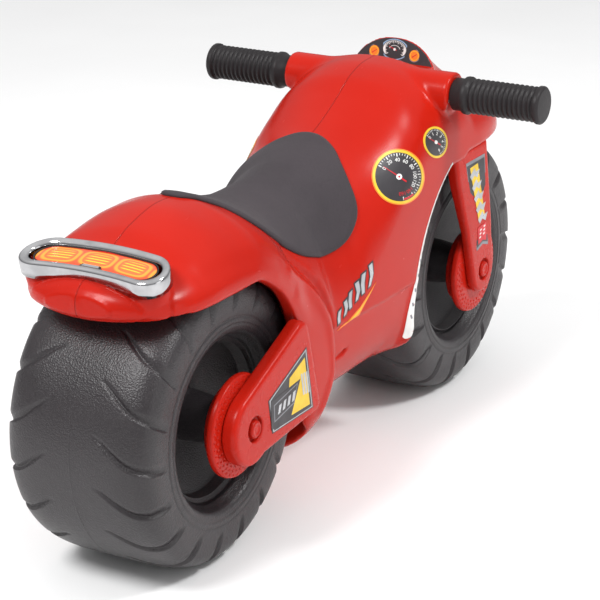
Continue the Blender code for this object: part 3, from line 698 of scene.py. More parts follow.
def body_field(grid):
    """The body with its sleeves, hood and lamp base, less the arches and everything else cut into it."""
    x, y, z = grid.x, grid.y, grid.z
    side_x, side_z = x[:, :, 0], z[0]
    field = main_form(grid)
    sleeve = both(np.hypot(x - BAR_X, z - BAR_Z) - SLEEVE_R, y - SLEEVE_END, 1.5)
    field = join(field, sleeve, 5.0)
    field = join(field, hood_field(grid), 1.5)
    along, up = lamp_axes(x, y, z)
    foot = stadium(y, along, (LAMP_HALF[0] - 2.5, LAMP_HALF[1] - 2.5))
    base = both(foot, np.maximum(up + LAMP_WALL, -26.0 - up), 1.0)
    ditch = np.hypot(np.maximum(np.abs(foot - 1.6) - 0.4, 0.0), field) - 1.5
    field = cut(field, np.maximum(ditch, 6.0 - along - 0.1 * np.abs(y)), 0.8)
    field = join(field, base, 2.5)
    for which in ("rear", "front"):
        bore = np.hypot(x - AXLE_X[which], z - WHEEL_R)
        field = cut(field, both(bore - ARCH_R[which], y - ARCH_HALF[which], 11.0), 3.5)
    cowl = both(np.hypot(x - WHEELBASE, z - WHEEL_R) - (ARCH_R["front"] + 1.0), z - COWL_STEP, 1.0)
    field = cut(field, np.maximum(cowl, ARCH_HALF["front"] - 2.0 - y), 3.0)
    pocket = outline_distance(arm_outline(1.0), side_x, side_z)[:, None, :]
    field = cut(field, np.maximum(pocket, ARM_POCKET - y), 1.5)
    field = cut(field, capsule(grid, SCOOP[0], SCOOP[1], 10.5, 5.0), 5.0)
    slit = outline_distance(SLIT, side_x, side_z)[:, None, :]
    return cut(field, np.maximum(slit, SLIT_DEPTH - y), 1.5)


def capsule(grid, start, end, first, last):
    """A round rod from start to end, whose radius runs from first to last."""
    a, d = np.array(start), np.array(end) - np.array(start)
    from_start = [axis - a[i] for i, axis in enumerate((grid.x, grid.y, grid.z))]
    along = np.clip(sum(f * d[i] for i, f in enumerate(from_start)) / (d @ d), 0, 1)
    away = np.sqrt(sum((f - along * d[i]) ** 2 for i, f in enumerate(from_start)))
    return away - (first + (last - first) * along)


def make_body():
    """The body's skin, and the surface that the pad and stickers lie on."""
    step = 2.0
    grid = Grid((-128.0, 0.0, 40.0), (625.0, 114.0, 396.0), step)
    field = body_field(grid)
    field = np.concatenate([field[:, :0:-1], field], axis=1)
    low = (grid.low[0], -(grid.y.size - 1) * step, grid.low[2])
    dress(skin("body", field, low, step, RED, 3), "frame", "red_plastic", "body_shell")
    return Surface(field, low, step)


# ---- turned pieces ----

def lathe(name, radius, across, finish, centre, poles=False):
    """A shape turned about a crosswise axis: radius and across are (profile, turn) arrays.

    The profile closes on itself, or with poles it starts and ends on the axis.
    """
    radius, across = np.broadcast_arrays(radius, across)
    rows, count = radius.shape
    turn = 2 * math.pi * np.arange(count) / count
    points = np.stack([centre[0] + radius * np.cos(turn), across, centre[1] + radius * np.sin(turn)], axis=-1)
    points = points.reshape(-1, 3)
    quads = facing_out(points - np.array([centre[0], 0.0, centre[1]]), quads_between(rows, count, not poles))
    obj = finish_mesh(name, points, quads, finish)
    if poles:
        with edited(obj) as bm:
            bmesh.ops.remove_doubles(bm, verts=bm.verts, dist=1e-6)
    return obj


def resampled(path, step):
    """The path with points about step apart, its corners kept."""
    points = [path[0]]
    for (r0, y0), (r1, y1) in zip(path, path[1:]):
        count = max(1, round(math.hypot(r1 - r0, y1 - y0) / step))
        for i in range(1, count + 1):
            points.append((r0 + (r1 - r0) * i / count, y0 + (y1 - y0) * i / count))
    return np.array(points)


def rounded(path, radius, steps=4):
    """The path with each inner corner turned into a small curve."""
    points = [path[0]]
    for before, corner, after in zip(path, path[1:], path[2:]):
        before, corner, after = (np.array(p, float) for p in (before, corner, after))
        near, far = np.linalg.norm(before - corner), np.linalg.norm(after - corner)
        reach = min(radius, near * 0.45, far * 0.45)
        start = corner + (before - corner) / near * reach
        end = corner + (after - corner) / far * reach
        for i in range(steps + 1):
            t = i / steps
            points.append(tuple(start * (1 - t) ** 2 + 2 * corner * t * (1 - t) + end * t * t))
    return points + [path[-1]]


TREAD_SLANT = curve([(20, 1.5), (27, 0), (41, -4.5), (57, -9.2), (86, -13.1), (100, -14.5)])
TREAD_WIDE = curve([(20, 2.0), (27, 4.5), (57, 9.0), (86, 13.0), (100, 14.0)])
TREAD_DEEP = curve([(22, 0.0), (30, 1.6), (45, 3.0), (80, 3.2), (92, 1.8), (100, 0.0)])
TREAD_START = {-1: 10.0, 1: 0.0}
TREAD_PITCH = 20.0
TYRE_POWER = 4.4
SPOKES = {"rear": (69.0, 189.0, 309.0), "front": (100.0, 220.0, 340.0)}
SPOKE_HALF = 19.0


def tread_depth(reach, side, turn, radius):
    """How deep the tread's slanted grooves are: steep on one side and scooped on the other."""
    rearward = 180.0 - np.degrees(turn)
    line = TREAD_START[side] + TREAD_SLANT(reach)
    off = (rearward - line + TREAD_PITCH / 2) % TREAD_PITCH - TREAD_PITCH / 2
    off = np.radians(off) * radius
    scoop = smoothstep(off, -0.8, 0.8) * (1 - smoothstep(off, 0.5, TREAD_WIDE(reach)))
    return TREAD_DEEP(reach) * scoop


def tyre_profile(half):
    """The wheel's outside from the dish's lip to the middle of the tread, with the bead's rings."""
    path = [(80.0, half - 9.0), (83.0, half - 3.0), (85.5, half - 1.2), (88.0, half - 0.6),
            (90.0, half + 0.2), (91.0, half - 0.8), (92.0, half + 0.3), (95.0, half), (96.5, half - 0.1),
            (97.4, half - 0.9), (98.4, half - 0.2)]
    bead = 95.5
    for i in range(3, 61):
        angle = math.pi / 2 * i / 60
        radius = bead + (WHEEL_R - bead) * math.sin(angle) ** (2 / TYRE_POWER)
        across = half * math.cos(angle) ** (2 / TYRE_POWER)
        if radius > 99.0 and across > 2.0:
            path.append((radius, across))
    return path + [(WHEEL_R, 1.2), (WHEEL_R, 0.7), (WHEEL_R + 0.35, 0.0)]


def dish_depth(radius, turn, which):
    """The dish's conical floor: broad spokes, with deep windows between them."""
    web = 40.0 + (radius - 30.0) * 0.42
    inside = np.minimum(radius - 33.0, 69.0 - radius)
    for spoke in SPOKES[which]:
        off = turn - math.radians(spoke)
        band = np.where(np.cos(off) > 0, radius * np.abs(np.sin(off)) - SPOKE_HALF, 99.0)
        inside = -join(-inside, -band, 7.0)
    return web - 7.0 * smoothstep(inside, 0.0, 3.5) - 3.0 * smoothstep(inside, 3.5, 16.0)


def make_wheel(which):
    """A wheel in one piece: hub, dish, lip, bead and tread, turned as one profile and its mirror image."""
    half = TYRE_HALF[which]
    count = 720
    turn = 2 * math.pi * np.arange(count)[None, :] / count
    outside = resampled(tyre_profile(half), 1.5)
    steps = np.linalg.norm(np.diff(outside, axis=0), axis=1)
    reach = np.concatenate([np.cumsum(steps[::-1])[::-1], [0.0]])[:, None]
    slope = np.gradient(outside, axis=0)
    slope /= np.linalg.norm(slope, axis=1, keepdims=True)
    hub_end, floor_in, floor_out = half - 2.6, (24.0, 37.5), (72.0, 57.6)
    lip = [floor_out, (73.0, 58.0), (76.5, half - 16.0), (77.0, half - 13.0), (80.0, half - 9.0)]
    inside = resampled(rounded(lip, 2.0), 1.5)[:-1]
    dish = resampled([floor_in, floor_out], 1.2)[:-1]
    hub = resampled([(AXLE_R, hub_end), (20.0, hub_end), floor_in], 3.0)[:-1]

    def spread(table, column):
        return np.broadcast_to(table[:, column, None], (len(table), count))

    halves = []
    for side in (-1, 1):
        depth = tread_depth(reach, side, turn, WHEEL_R)
        tread = outside[:, :1] + slope[:, 1:] * depth, outside[:, 1:] - slope[:, :1] * depth
        radius = np.concatenate([spread(hub, 0), spread(dish, 0), spread(inside, 0), tread[0]])
        sunken = dish_depth(dish[:, :1], turn, which)
        across = np.concatenate([spread(hub, 1), sunken, spread(inside, 1), tread[1]])
        halves.append((radius, side * across))
    radius, across = (np.concatenate([right[:-1], left[::-1]]) for right, left in zip(*halves))
    wheel = lathe(f"{which}_tyre_and_hub", radius, across, TYRE, (AXLE_X[which], WHEEL_R))
    dress(wheel, f"{which}_wheel_body", "black_plastic", f"{which}_wheel")


def make_disc(which, side, label):
    """The dummy brake disc: three rows of dimples round a raised boss."""
    outer, inner = DISC_OUTER[which], TYRE_HALF[which] - 2.0
    rim = outer - 9.0
    path = [(AXLE_R, inner), (38.0, inner), (41.0, rim - 1.0), (DISC_R - 2.0, rim), (DISC_R, rim + 2.5),
            (DISC_R - 0.8, outer - 2.0), (DISC_R - 3.0, outer - 0.6), (37.5, outer), (AXLE_R, outer)]
    path = resampled(rounded(path, 1.5), 0.8)
    count = 420
    turn = 2 * math.pi * np.arange(count)[None, :] / count
    radius, across = path[:, :1], path[:, 1:]
    for ring, number, shift in ((44.6, 40, 0.0), (40.4, 40, 0.5), (36.4, 30, 0.0)):
        pitch = 2 * math.pi / number
        off = ((turn / pitch + shift + 0.5) % 1 - 0.5) * pitch * radius
        gap = np.hypot(off, radius - ring)
        across = across - 0.9 * (1 - smoothstep(gap, 0.5, 1.5)) * (path[:, 1:] > outer - 2.5)
    disc = lathe(f"{which}_brake_disc_{label}", radius, side * across, RED_PLAIN, (AXLE_X[which], WHEEL_R))
    dress(disc, "frame", "red_plastic", f"{which}_disc_{label}")


def turned_solid(name, path, steps, side, finish, centre):
    """A plain turned piece whose profile of (radius, distance out) starts and ends on the axis."""
    path, turn = np.array(path), np.zeros((1, steps))
    return lathe(name, path[:, :1] + turn, side * (path[:, 1:] + turn), finish, centre, poles=True)


def make_cap(which, side, label):
    """The push-on cap over an axle's end: a knob with a shallow dish in its crown."""
    foot, top, radius = RECESS[which] + 0.3, SIDE_OUTER[which] + 1.6, CAP_R - 3.6
    path = rounded([(0.0, foot), (radius, foot), (radius, top - 1.5), (radius - 1.8, top), (5.0, top - 0.2),
                    (3.5, top - 0.9), (0.0, top - 0.9)], 1.2)
    centre = (AXLE_X[which], WHEEL_R)
    cap = turned_solid(f"{which}_cap_{label}", resampled(path, 0.6), 72, side, RED_PLAIN, centre)
    dress(cap, "frame", "red_plastic", f"{which}_axle_cap_{label}")


def make_grip(side, label):
    """A ribbed grip: collar, flange, ribs and a rounded end flange."""
    start, end, neck = SLEEVE_END + 0.3, BAR_HALF, GRIP_R - 0.4
    path = [(0.0, start), (GRIP_R - 1.0, start), (GRIP_R, start + 1.0), (GRIP_R, 104.0),
            (FLANGE_R - 0.4, 106.5), (FLANGE_R, 108.0), (FLANGE_R, 111.0), (FLANGE_R - 0.6, 112.0), (neck, 113.6)]
    first, last = 115.0, 184.0
    samples = GRIP_RIBS * 10
    for i in range(samples + 1):
        wave = math.cos(2 * math.pi * i / 10)
        path.append((neck + 1.9 * (0.5 - 0.5 * wave) ** 0.6, first + (last - first) * i / samples))
    tip = [(neck, 184.6), (FLANGE_R, 186.0), (FLANGE_R, end - 2.0), (FLANGE_R - 2.2, end), (0.0, end)]
    path += rounded(tip, 1.0)
    grip = turned_solid(f"handlebar_grip_{label}", path, 96, side, RUBBER, (BAR_X, BAR_Z))
    dress(grip, "frame", "black_plastic", f"grip_{label}")


# ---- arms and fork legs ----

PLATE_STEP = 1.2
FORK_BEND = 188.0


def plate_field(grid, outline, inner, outer, edge):
    """An extruded outline whose outer edge is well rounded."""
    flat = outline_distance(outline, grid.x[:, :, 0], grid.z[0])[:, None, :]
    return both(both(flat, grid.y - outer, edge), inner - grid.y, 1.5)


def sink_cap(field, grid, which):
    """The axle's bore, and the recess that its cap sits in."""
    bore = np.hypot(grid.x - AXLE_X[which], grid.z - WHEEL_R)
    field = cut(field, np.maximum(bore - CAP_R, RECESS[which] - grid.y), 1.2)
    return cut(field, bore - AXLE_R, 0.5)


def make_pair(name, which, grid, outline, inner, outer, edge):
    """The same plate on both sides of a wheel."""
    field = sink_cap(plate_field(grid, outline, inner, outer, edge), grid, which)
    low, high = grid.low, (grid.low[0], -(grid.low[1] + (grid.y.size - 1) * grid.step), grid.low[2])
    for side, label in SIDES:
        half, corner = (field[:, ::-1], high) if side < 0 else (field, low)
        shell = skin(f"{name}_shell_{label}", half, corner, grid.step, RED_PLAIN, 2)
        dress(shell, "frame", "red_plastic", f"{name}_{label}")


def make_arms():
    grid = Grid((-42.0, 84.0, 96.0), (128.0, 110.0, 222.0), PLATE_STEP)
    make_pair("swing_arm", "rear", grid, arm_outline(), DISC_OUTER["rear"] + 0.3, SIDE_OUTER["rear"], 6.0)


def fork_outline():
    foot = list(arc(WHEELBASE, WHEEL_R, 25.0, 195, 375, 24))
    top = COWL_STEP + 8.0
    return foot + [(519.0, 178.0), (513.0, top), (436.0, top), (441.0, 246.0)]


def fork_face(z):
    """The leg's outer face leans in above the hub, to meet the cowl."""
    return SIDE_OUTER["front"] - 0.065 * np.maximum(z - FORK_BEND, 0.0)


def make_forks():
    grid = Grid((428.0, 70.0, 108.0), (530.0, 100.0, 286.0), PLATE_STEP)
    inner = DISC_OUTER["front"] + 0.3 - 0.11 * np.maximum(grid.z - FORK_BEND, 0.0)
    make_pair("fork_leg", "front", grid, fork_outline(), inner, fork_face(grid.z), 5.0)


# ---- the seat pad ----

def section_table():
    """For many x, the section from the crown down the side as arc length, y and z."""
    xs = np.arange(20.0, 301.0, SECTION_STEP)
    _, _, high, crown = section_heights(xs)
    angle = np.linspace(math.pi / 2, 0, 160)[None, :]
    square = square_up_at(xs)[:, None]
    y = half_at(xs)[:, None] * np.cos(angle) ** (2 / square)
    y[:, 0] = 0.0
    z = high[:, None] + (crown - high)[:, None] * np.sin(angle) ** (2 / square)
    steps = np.hypot(np.diff(y, axis=1), np.diff(z, axis=1))
    reach = np.concatenate([np.zeros((len(xs), 1)), np.cumsum(steps, axis=1)], axis=1)
    return xs, reach, y, z


def on_section(tables, x, reach):
    """The body's plain surface at x, a given length from the crown line."""
    xs, lengths, ys, zs = tables
    rows = np.clip(np.floor((x - xs[0]) / SECTION_STEP).astype(int), 0, len(xs) - 2)
    share = (x - xs[rows]) / SECTION_STEP
    out = np.empty((len(x), 3))
    for n, row in enumerate(rows):
        pair = [[np.interp(abs(reach[n]), lengths[k], table[k]) for table in (ys, zs)]
                for k in (row, row + 1)]
        y, z = (near * (1 - share[n]) + far * share[n] for near, far in zip(*pair))
        out[n] = (x[n], math.copysign(y, reach[n]) if y else 0.0, z)
    return out


def evenly(points, count):
    """Points spread evenly round a closed line, whose last point repeats its first."""
    length = np.concatenate([[0], np.cumsum(np.linalg.norm(np.diff(points, axis=0), axis=1))])
    at = np.linspace(0, length[-1], count, endpoint=False)
    return np.stack([np.interp(at, length, points[:, k]) for k in (0, 1)], axis=1)


def closed_spline(points, count):
    """Evenly spread points of a smooth closed curve through the given ones."""
    points = np.array(points, float)
    a, b, c, d = (np.roll(points, k, axis=0)[:, None, :] for k in (1, 0, -1, -2))
    t = np.linspace(0, 1, 24, endpoint=False)[None, :, None]
    fine = 0.5 * (2 * b + (c - a) * t + (2 * a - 5 * b + 4 * c - d) * t**2 + (3 * b - a - 3 * c + d) * t**3)
    fine = fine.reshape(-1, 2)
    return evenly(np.concatenate([fine, fine[:1]]), count)


def make_seat(surface):
    """The foam saddle: a thin crowned sheet with a rounded edge, laid on the body."""
    outline = PAD_REACH + [(x, -reach) for x, reach in PAD_REACH[::-1]]
    count = 300
    edge = closed_spline(outline, count)
    centre = np.array([PAD_MIDDLE, 0.0])
    size = np.linalg.norm(edge - centre, axis=1)
    layers = []
    for share in np.linspace(0.0, 1.0, 30)[1:]:
        gap = (1 - share) * size
        lift = PAD_TOP * (1 - np.clip(1 - (gap + 0.5) / PAD_EDGE, 0, 1) ** 2.4) ** 0.5
        layers.append((share, lift + 0.5))
    layers += [(share, np.full(count, PAD_UNDER)) for share in (1.0, 0.9, 0.6, 0.3, 0.08)]
    tables = section_table()
    points = []
    for share, lift in layers:
        flat = centre + share * (edge - centre)
        at = on_section(tables, flat[:, 0], flat[:, 1])
        out = surface.normal(at, 5.0)
        points.append(surface.drop(at, out, 12.0) + out * lift[:, None])
    pad = finish_mesh("saddle_pad", np.concatenate(points), quads_between(len(layers), count), FOAM)
    with edited(pad) as bm:
        bmesh.ops.holes_fill(bm, edges=[e for e in bm.edges if e.is_boundary], sides=0)
        bmesh.ops.triangulate(bm, faces=[f for f in bm.faces if len(f.verts) > 4])
        bmesh.ops.recalc_face_normals(bm, faces=bm.faces)
    dress(pad, "frame", "seat_foam", "seat_pad")


# ---- the tail lamp ----

def lamp_points(across, along, up):
    """Points on the lamp's own axes, which follow its bend."""
    bent = along + LAMP_BEND * across**2
    x = LAMP_POINT[0] - bent * math.cos(LAMP_SLOPE) - up * math.sin(LAMP_SLOPE)
    z = LAMP_POINT[1] - bent * math.sin(LAMP_SLOPE) + up * math.cos(LAMP_SLOPE)
    return np.stack([x, across, z], axis=-1)


def stadium_line(half, count):
    """Evenly spread points of a stadium's outline."""
    long, wide = half
    straight = long - wide
    points = [(straight, -wide)]
    points += [(straight + wide * math.sin(a), -wide * math.cos(a)) for a in np.linspace(0, math.pi, 24)[1:]]
    points += [(-straight - wide * math.sin(a), wide * math.cos(a)) for a in np.linspace(0, math.pi, 24)]
    return evenly(np.array(points + points[:1]), count)


def ring_mesh(name, rows, finish, closed):
    """A skin over rings of equal length, joined end to start or capped with flat faces."""
    count = len(rows[0])
    obj = finish_mesh(name, np.concatenate(rows), quads_between(len(rows), count, closed), finish)
    with edited(obj) as bm:
        if not closed:
            bmesh.ops.holes_fill(bm, edges=[e for e in bm.edges if e.is_boundary], sides=0)
        bmesh.ops.recalc_face_normals(bm, faces=bm.faces)
    if count < 8:
        obj.data.set_sharp_from_angle(angle=math.radians(40))
    return obj


def stadium_piece(name, half, steps, finish, closed):
    """A skin over stadiums, each grown from half by its first number, at the height of its second."""
    count = 180
    rows = []
    for grow, up in steps:
        line = stadium_line((half[0] + grow, half[1] + grow), count)
        rows.append(lamp_points(line[:, 0], line[:, 1], up))
    return ring_mesh(name, rows, finish, closed)


def make_lamp():
    """The tail lamp: plated ring, lens, gasket and the small clip at the lens's lower edge."""
    foot, wide_in = 0.3 - LAMP_WALL, LENS_HALF[1]
    profile = [(0.0, foot), (0.3, -9.0), (0.2, -4.0), (-0.3, -1.6), (-1.4, -0.4), (-2.6, 0.0), (-5.4, -0.2),
               (-7.2, -0.9), (-8.4, -2.2), (-9.0, -4.2), (-9.1, -6.0), (-9.1, foot)]
    bezel = stadium_piece("lamp_bezel_ring", LAMP_HALF, rounded(profile, 1.0, 3), CHROME, True)
    dress(bezel, "frame", "chrome_plate", "tail_lamp_bezel")
    dome = [(-0.4, foot), (-0.4, -4.6), (-1.0, -3.9), (-2.4, -3.5), (-6.0, -3.1), (-10.0, -2.9),
            (-13.0, -2.8)]
    lens = stadium_piece("lamp_lens_face", LENS_HALF, dome, LENS, False)
    dress(lens, "frame", "amber_lens", "tail_lamp_lens")
    seal = [(0.9, -5.2), (0.9, -3.4), (-0.3, -3.2), (-0.3, -5.2)]
    dress(stadium_piece("lamp_gasket", LENS_HALF, seal, RUBBER, True), "frame", "black_plastic")
    low, high = wide_in + 0.6, wide_in - 3.4
    outer = np.array([(-11.5, low), (11.5, low), (9.5, high), (-9.5, high)])
    inner = outer * 0.8 + np.array([0.0, wide_in - 1.2]) * 0.2
    tabs = (("lamp_clip", outer, (-5.0, -2.4), RUBBER), ("lamp_clip_face", inner, (-3.0, -2.0), CHROME))
    for name, tab, heights, finish in tabs:
        clip = ring_mesh(name, [lamp_points(tab[:, 0], tab[:, 1], up) for up in heights], finish, False)
        dress(clip, "frame", "black_plastic")


# ---- printed stickers ----

class Drawing:
    """Flat shapes in millimetres, each with an ink and a level, laid on a surface as one thin piece."""

    def __init__(self, cell=None):
        """cell is how finely the shapes are cut up, where the surface under them is curved."""
        self.cell = cell
        self.shapes = []

    def shape(self, colour, outline, level):
        bm = bmesh.new()
        bm.faces.new([bm.verts.new((u, v, 0)) for u, v in outline])
        self.shapes.append((colour, level, bm))

    def ring(self, colour, centre, inner, outer, level, start=0.0, end=360.0):
        bm = bmesh.new()
        count = max(4, round(abs(end - start) / 5))
        low, high = ([bm.verts.new((u, v, 0)) for u, v in arc(*centre, radius, start, end, count)]
                     for radius in (inner, outer))
        for i in range(count):
            bm.faces.new((low[i], low[i + 1], high[i + 1], high[i]))
        bmesh.ops.remove_doubles(bm, verts=bm.verts, dist=1e-5)
        self.shapes.append((colour, level, bm))

    def disc(self, colour, centre, radius, level):
        self.shape(colour, list(arc(*centre, radius, 0, 355, 71)), level)

    def bar(self, colour, start, end, width, level, taper=1.0):
        """A straight stroke, whose far end is taper times as wide."""
        (u0, v0), (u1, v1) = start, end
        length = math.hypot(u1 - u0, v1 - v0)
        nu, nv = (v0 - v1) / length * width / 2, (u1 - u0) / length * width / 2
        far = [(u1 - nu * taper, v1 - nv * taper), (u1 + nu * taper, v1 + nv * taper)]
        self.shape(colour, [(u0 - nu, v0 - nv), *far, (u0 + nu, v0 + nv)], level)

    def number(self, colour, text, centre, size, turn, level):
        data = bpy.data.curves.new("number", "FONT")
        data.body = text
        data.size = size
        data.align_x, data.align_y = "CENTER", "CENTER"
        data.resolution_u = 3
        obj = bpy.data.objects.new("number", data)
        bm = bmesh.new()
        bm.from_mesh(obj.to_mesh())
        obj.to_mesh_clear()
        bpy.data.objects.remove(obj)
        spot = Matrix.Translation((centre[0], centre[1], 0)) @ Matrix.Rotation(turn, 4, "Z")
        bmesh.ops.transform(bm, matrix=spot, verts=bm.verts)
        self.shapes.append((colour, level, bm))

    def lay(self, name, project, node):
        """Cuts the shapes finely, gives them thickness and moves their points onto the surface."""
        whole = bmesh.new()
        inks = list(dict.fromkeys(colour for colour, _, _ in self.shapes))
        for colour, level, bm in self.shapes:
            if self.cell:
                slice_up(bm, self.cell)
            bmesh.ops.triangulate(bm, faces=[f for f in bm.faces if len(f.verts) > 4])
            raised = bmesh.ops.extrude_face_region(bm, geom=list(bm.faces))
            top = {v for v in raised["geom"] if isinstance(v, bmesh.types.BMVert)}
            for face in bm.faces:
                face.material_index = inks.index(colour)
            flat = np.array([v.co[:2] for v in bm.verts])
            foot = INK_FOOT if level < 2 else INK_THICK
            lift = np.array([INK_THICK + INK_LEVEL * level if v in top else foot for v in bm.verts])
            for vert, at in zip(bm.verts, project(flat[:, 0], flat[:, 1], lift)):
                vert.co = at
            bmesh.ops.recalc_face_normals(bm, faces=bm.faces)
            part = bpy.data.meshes.new("part")
            bm.to_mesh(part)
            bm.free()
            whole.from_mesh(part)
            bpy.data.meshes.remove(part)
        mesh = bpy.data.meshes.new(name)
        whole.to_mesh(mesh)
        whole.free()
        for colour in inks:
            mesh.materials.append(INKS[colour])
        dress(add_object(name, mesh), "frame", "printed_vinyl", node)


def slice_up(bm, cell):
    """Cuts a shape into square cells, whose lines pass a hair beside the shape's own corners."""
    for axis in (0, 1):
        spots = [v.co[axis] for v in bm.verts]
        normal = Vector((1, 0, 0)) if axis == 0 else Vector((0, 1, 0))
        for k in range(math.ceil(min(spots) / cell), math.floor(max(spots) / cell) + 1):
            geometry = list(bm.verts) + list(bm.edges) + list(bm.faces)
            bmesh.ops.bisect_plane(bm, geom=geometry, plane_co=normal * (k * cell + CELL_SHIFT), plane_no=normal)


def onto(surface, centre, across, up, out, smooth):
    """Lays a drawing with axes across and up on the body, along -out, with normals that reach smooth."""
    centre, across, up, out = (np.array(v, float) for v in (centre, across, up, out))

    def project(u, v, lift):
        flat = centre + u[:, None] * across + v[:, None] * up
        at = surface.drop(flat, np.broadcast_to(out, flat.shape))
        return place(at + surface.normal(at, smooth) * lift[:, None])

    return project


def on_tank(surface, centre, out):
    """Lays a drawing on the tank from the direction out, its own v axis pointing up."""
    out = np.array(out, float) / np.linalg.norm(out)
    across = np.cross((0.0, 0.0, 1.0), out)
    across /= np.linalg.norm(across)
    return onto(surface, centre, across, np.cross(out, across), out, 4.0)


def on_side(surface, side):
    """Lays a drawing given in the body's own (x, z) on its side."""
    return onto(surface, (0, side * SIDE_PLANE, 0), (1, 0, 0), (0, 0, 1), (0, side, 0), 3.0)


def on_face(side, face_at):
    """A drawing given in (x, z) on an outer face, whose distance out is a function of z."""
    def project(u, v, lift):
        return place(np.stack([u, side * (face_at(v) + lift), v], axis=-1))

    return project


def polar(radius, degrees):
    angle = math.radians(degrees)
    return radius * math.cos(angle), radius * math.sin(angle)


def add_scale(face, radius, span, ticks, major, minor, end, labels, at, size):
    """A dial's ticks, every fourth a major one, and its numbers, of which those past 120 are red.

    major and minor are where a tick starts and how wide it is, end is where it ends, and at is where the
    numbers stand, all but the width as shares of the radius.
    """
    first, last = span
    for i in range(ticks + 1):
        angle = first + (last - first) * i / ticks
        start, width = minor if i % 4 else major
        face.bar("white", polar(radius * start, angle), polar(radius * end, angle), width, 1)
    for i, label in enumerate(labels):
        angle = first + (last - first) * i / (len(labels) - 1)
        colour = "red" if label > 120 else "white"
        face.number(colour, str(label), polar(radius * at, angle), radius * size, math.radians(angle - 90), 1)


def speedometer(radius):
    """A dial that reads 0 to 160, its needle at rest."""
    face = Drawing(2.5)
    face.disc("charcoal", (0, 0), radius, 0)
    face.ring("yellow", (0, 0), radius * 0.87, radius * 0.96, 1)
    face.ring("orange", (0, 0), radius * 0.96, radius, 1)
    first, last = 152.0, -78.0
    needle = first - 4
    add_scale(face, radius, (first, last), 32, (0.72, 0.9), (0.77, 0.55), 0.84, range(0, 161, 20), 0.60, 0.19)
    face.ring("red", (0, 0), radius * 0.78, radius * 0.84, 2, last, last + 30)
    face.bar("red", polar(-radius * 0.32, needle), polar(radius * 0.66, needle), 1.5, 3, 0.3)
    face.disc("white", (0, 0), radius * 0.105, 4)
    face.disc("red", (0, 0), radius * 0.035, 5)
    return face


def rev_gauge(radius):
    """A dial that reads 0 to 6."""
    face = Drawing(2.5)
    face.disc("charcoal", (0, 0), radius, 0)
    face.ring("yellow", (0, 0), radius * 0.86, radius, 1)
    add_scale(face, radius, (150.0, -62.0), 24, (0.73, 0.7), (0.73, 0.4), 0.82, range(7), 0.55, 0.30)
    needle = 158.0
    face.bar("red", polar(-radius * 0.4, needle), polar(radius * 0.62, needle), 1.3, 2, 0.4)
    face.disc("white", (0, 0), radius * 0.12, 3)
    return face


def make_gauges(surface, side, label):
    for name, draw in (("speedometer", speedometer), ("rev_gauge", rev_gauge)):
        centre, out, radius = GAUGES[name]
        if side > 0:
            centre = np.add(centre, LEFT_GAUGE_SHIFT)
        mirror = np.array([1.0, -side, 1.0])
        face = on_tank(surface, centre * mirror, out * mirror)
        draw(radius).lay(f"{name}_dial_{label}", face, f"{name}_sticker_{label}")


def shrunk(outline, centre, share):
    return [(centre[0] + (x - centre[0]) * share, centre[1] + (z - centre[1]) * share) for x, z in outline]


def arm_drawing():
    """A charcoal panel with a silver line, a yellow field, slanted bars and a dark badge."""
    face = Drawing()
    panel = [(29, 124), (105, 123), (92, 187), (22, 158)]
    middle = (66.0, 147.0)
    face.shape("charcoal", panel, 0)
    face.shape("silver", shrunk(panel, middle, 0.955), 1)
    face.shape("charcoal", shrunk(panel, middle, 0.915), 2)
    face.shape("yellow", [(56, 130), (98, 128.5), (88, 178), (60, 167)], 3)
    face.shape("charcoal", [(27, 128), (62, 128), (80, 160), (26, 156)], 4)
    for i in range(3):
        x = 82.0 + 4.6 * i
        face.bar("silver", (x, 164 - 0.5 * i), (x + 4.5, 142 - 0.5 * i), 2.8, 4)
    face.shape("grey", [(32, 134), (68, 140), (75, 158), (31, 151)], 5)
    face.shape("charcoal", [(33.5, 135.5), (67, 141.2), (73.2, 156.6), (32.5, 150)], 6)
    for i in range(4):
        x, foot, top = 38.0 + 8.5 * i, 139.5 + i, 147.7 + 1.3 * i
        face.shape("silver", [(x, foot), (x + 4.5, foot + 0.8), (x + 7.0, top + 0.8), (x + 2.5, top)], 7)
    return face


def fork_drawing():
    """A charcoal panel with a silver line, a yellow patch, silver zigzags and a red tail with white ticks."""
    face = Drawing()
    panel = [(480, 165), (494, 169), (508, 165), (504, 266), (458, 266)]
    middle = (487.0, 216.0)
    face.shape("grey", panel, 0)
    face.shape("charcoal", shrunk(panel, middle, 0.93), 1)
    face.shape("yellow", [(467, 259), (486, 260), (499, 200), (484, 196)], 2)
    for x, z in ((466, 250), (470, 237), (474, 224), (478, 211), (482, 199)):
        face.shape("silver", [(x, z), (x + 11, z + 7), (x + 15, z + 2), (x + 4, z - 5)], 3)
        face.shape("silver", [(x + 10, z - 1), (x + 14, z + 2), (x + 24, z + 3), (x + 18, z - 5)], 3)
    face.shape("red", [(483, 171), (494, 174), (503, 171), (501.5, 192), (481, 190)], 2)
    for i in range(3):
        for x, z in ((485 + 0.6 * i, 178 + 4 * i), (494 + 0.6 * i, 180 + 4 * i)):
            face.bar("white", (x, z), (x + 4, z + 1), 1.6, 3)
    return face


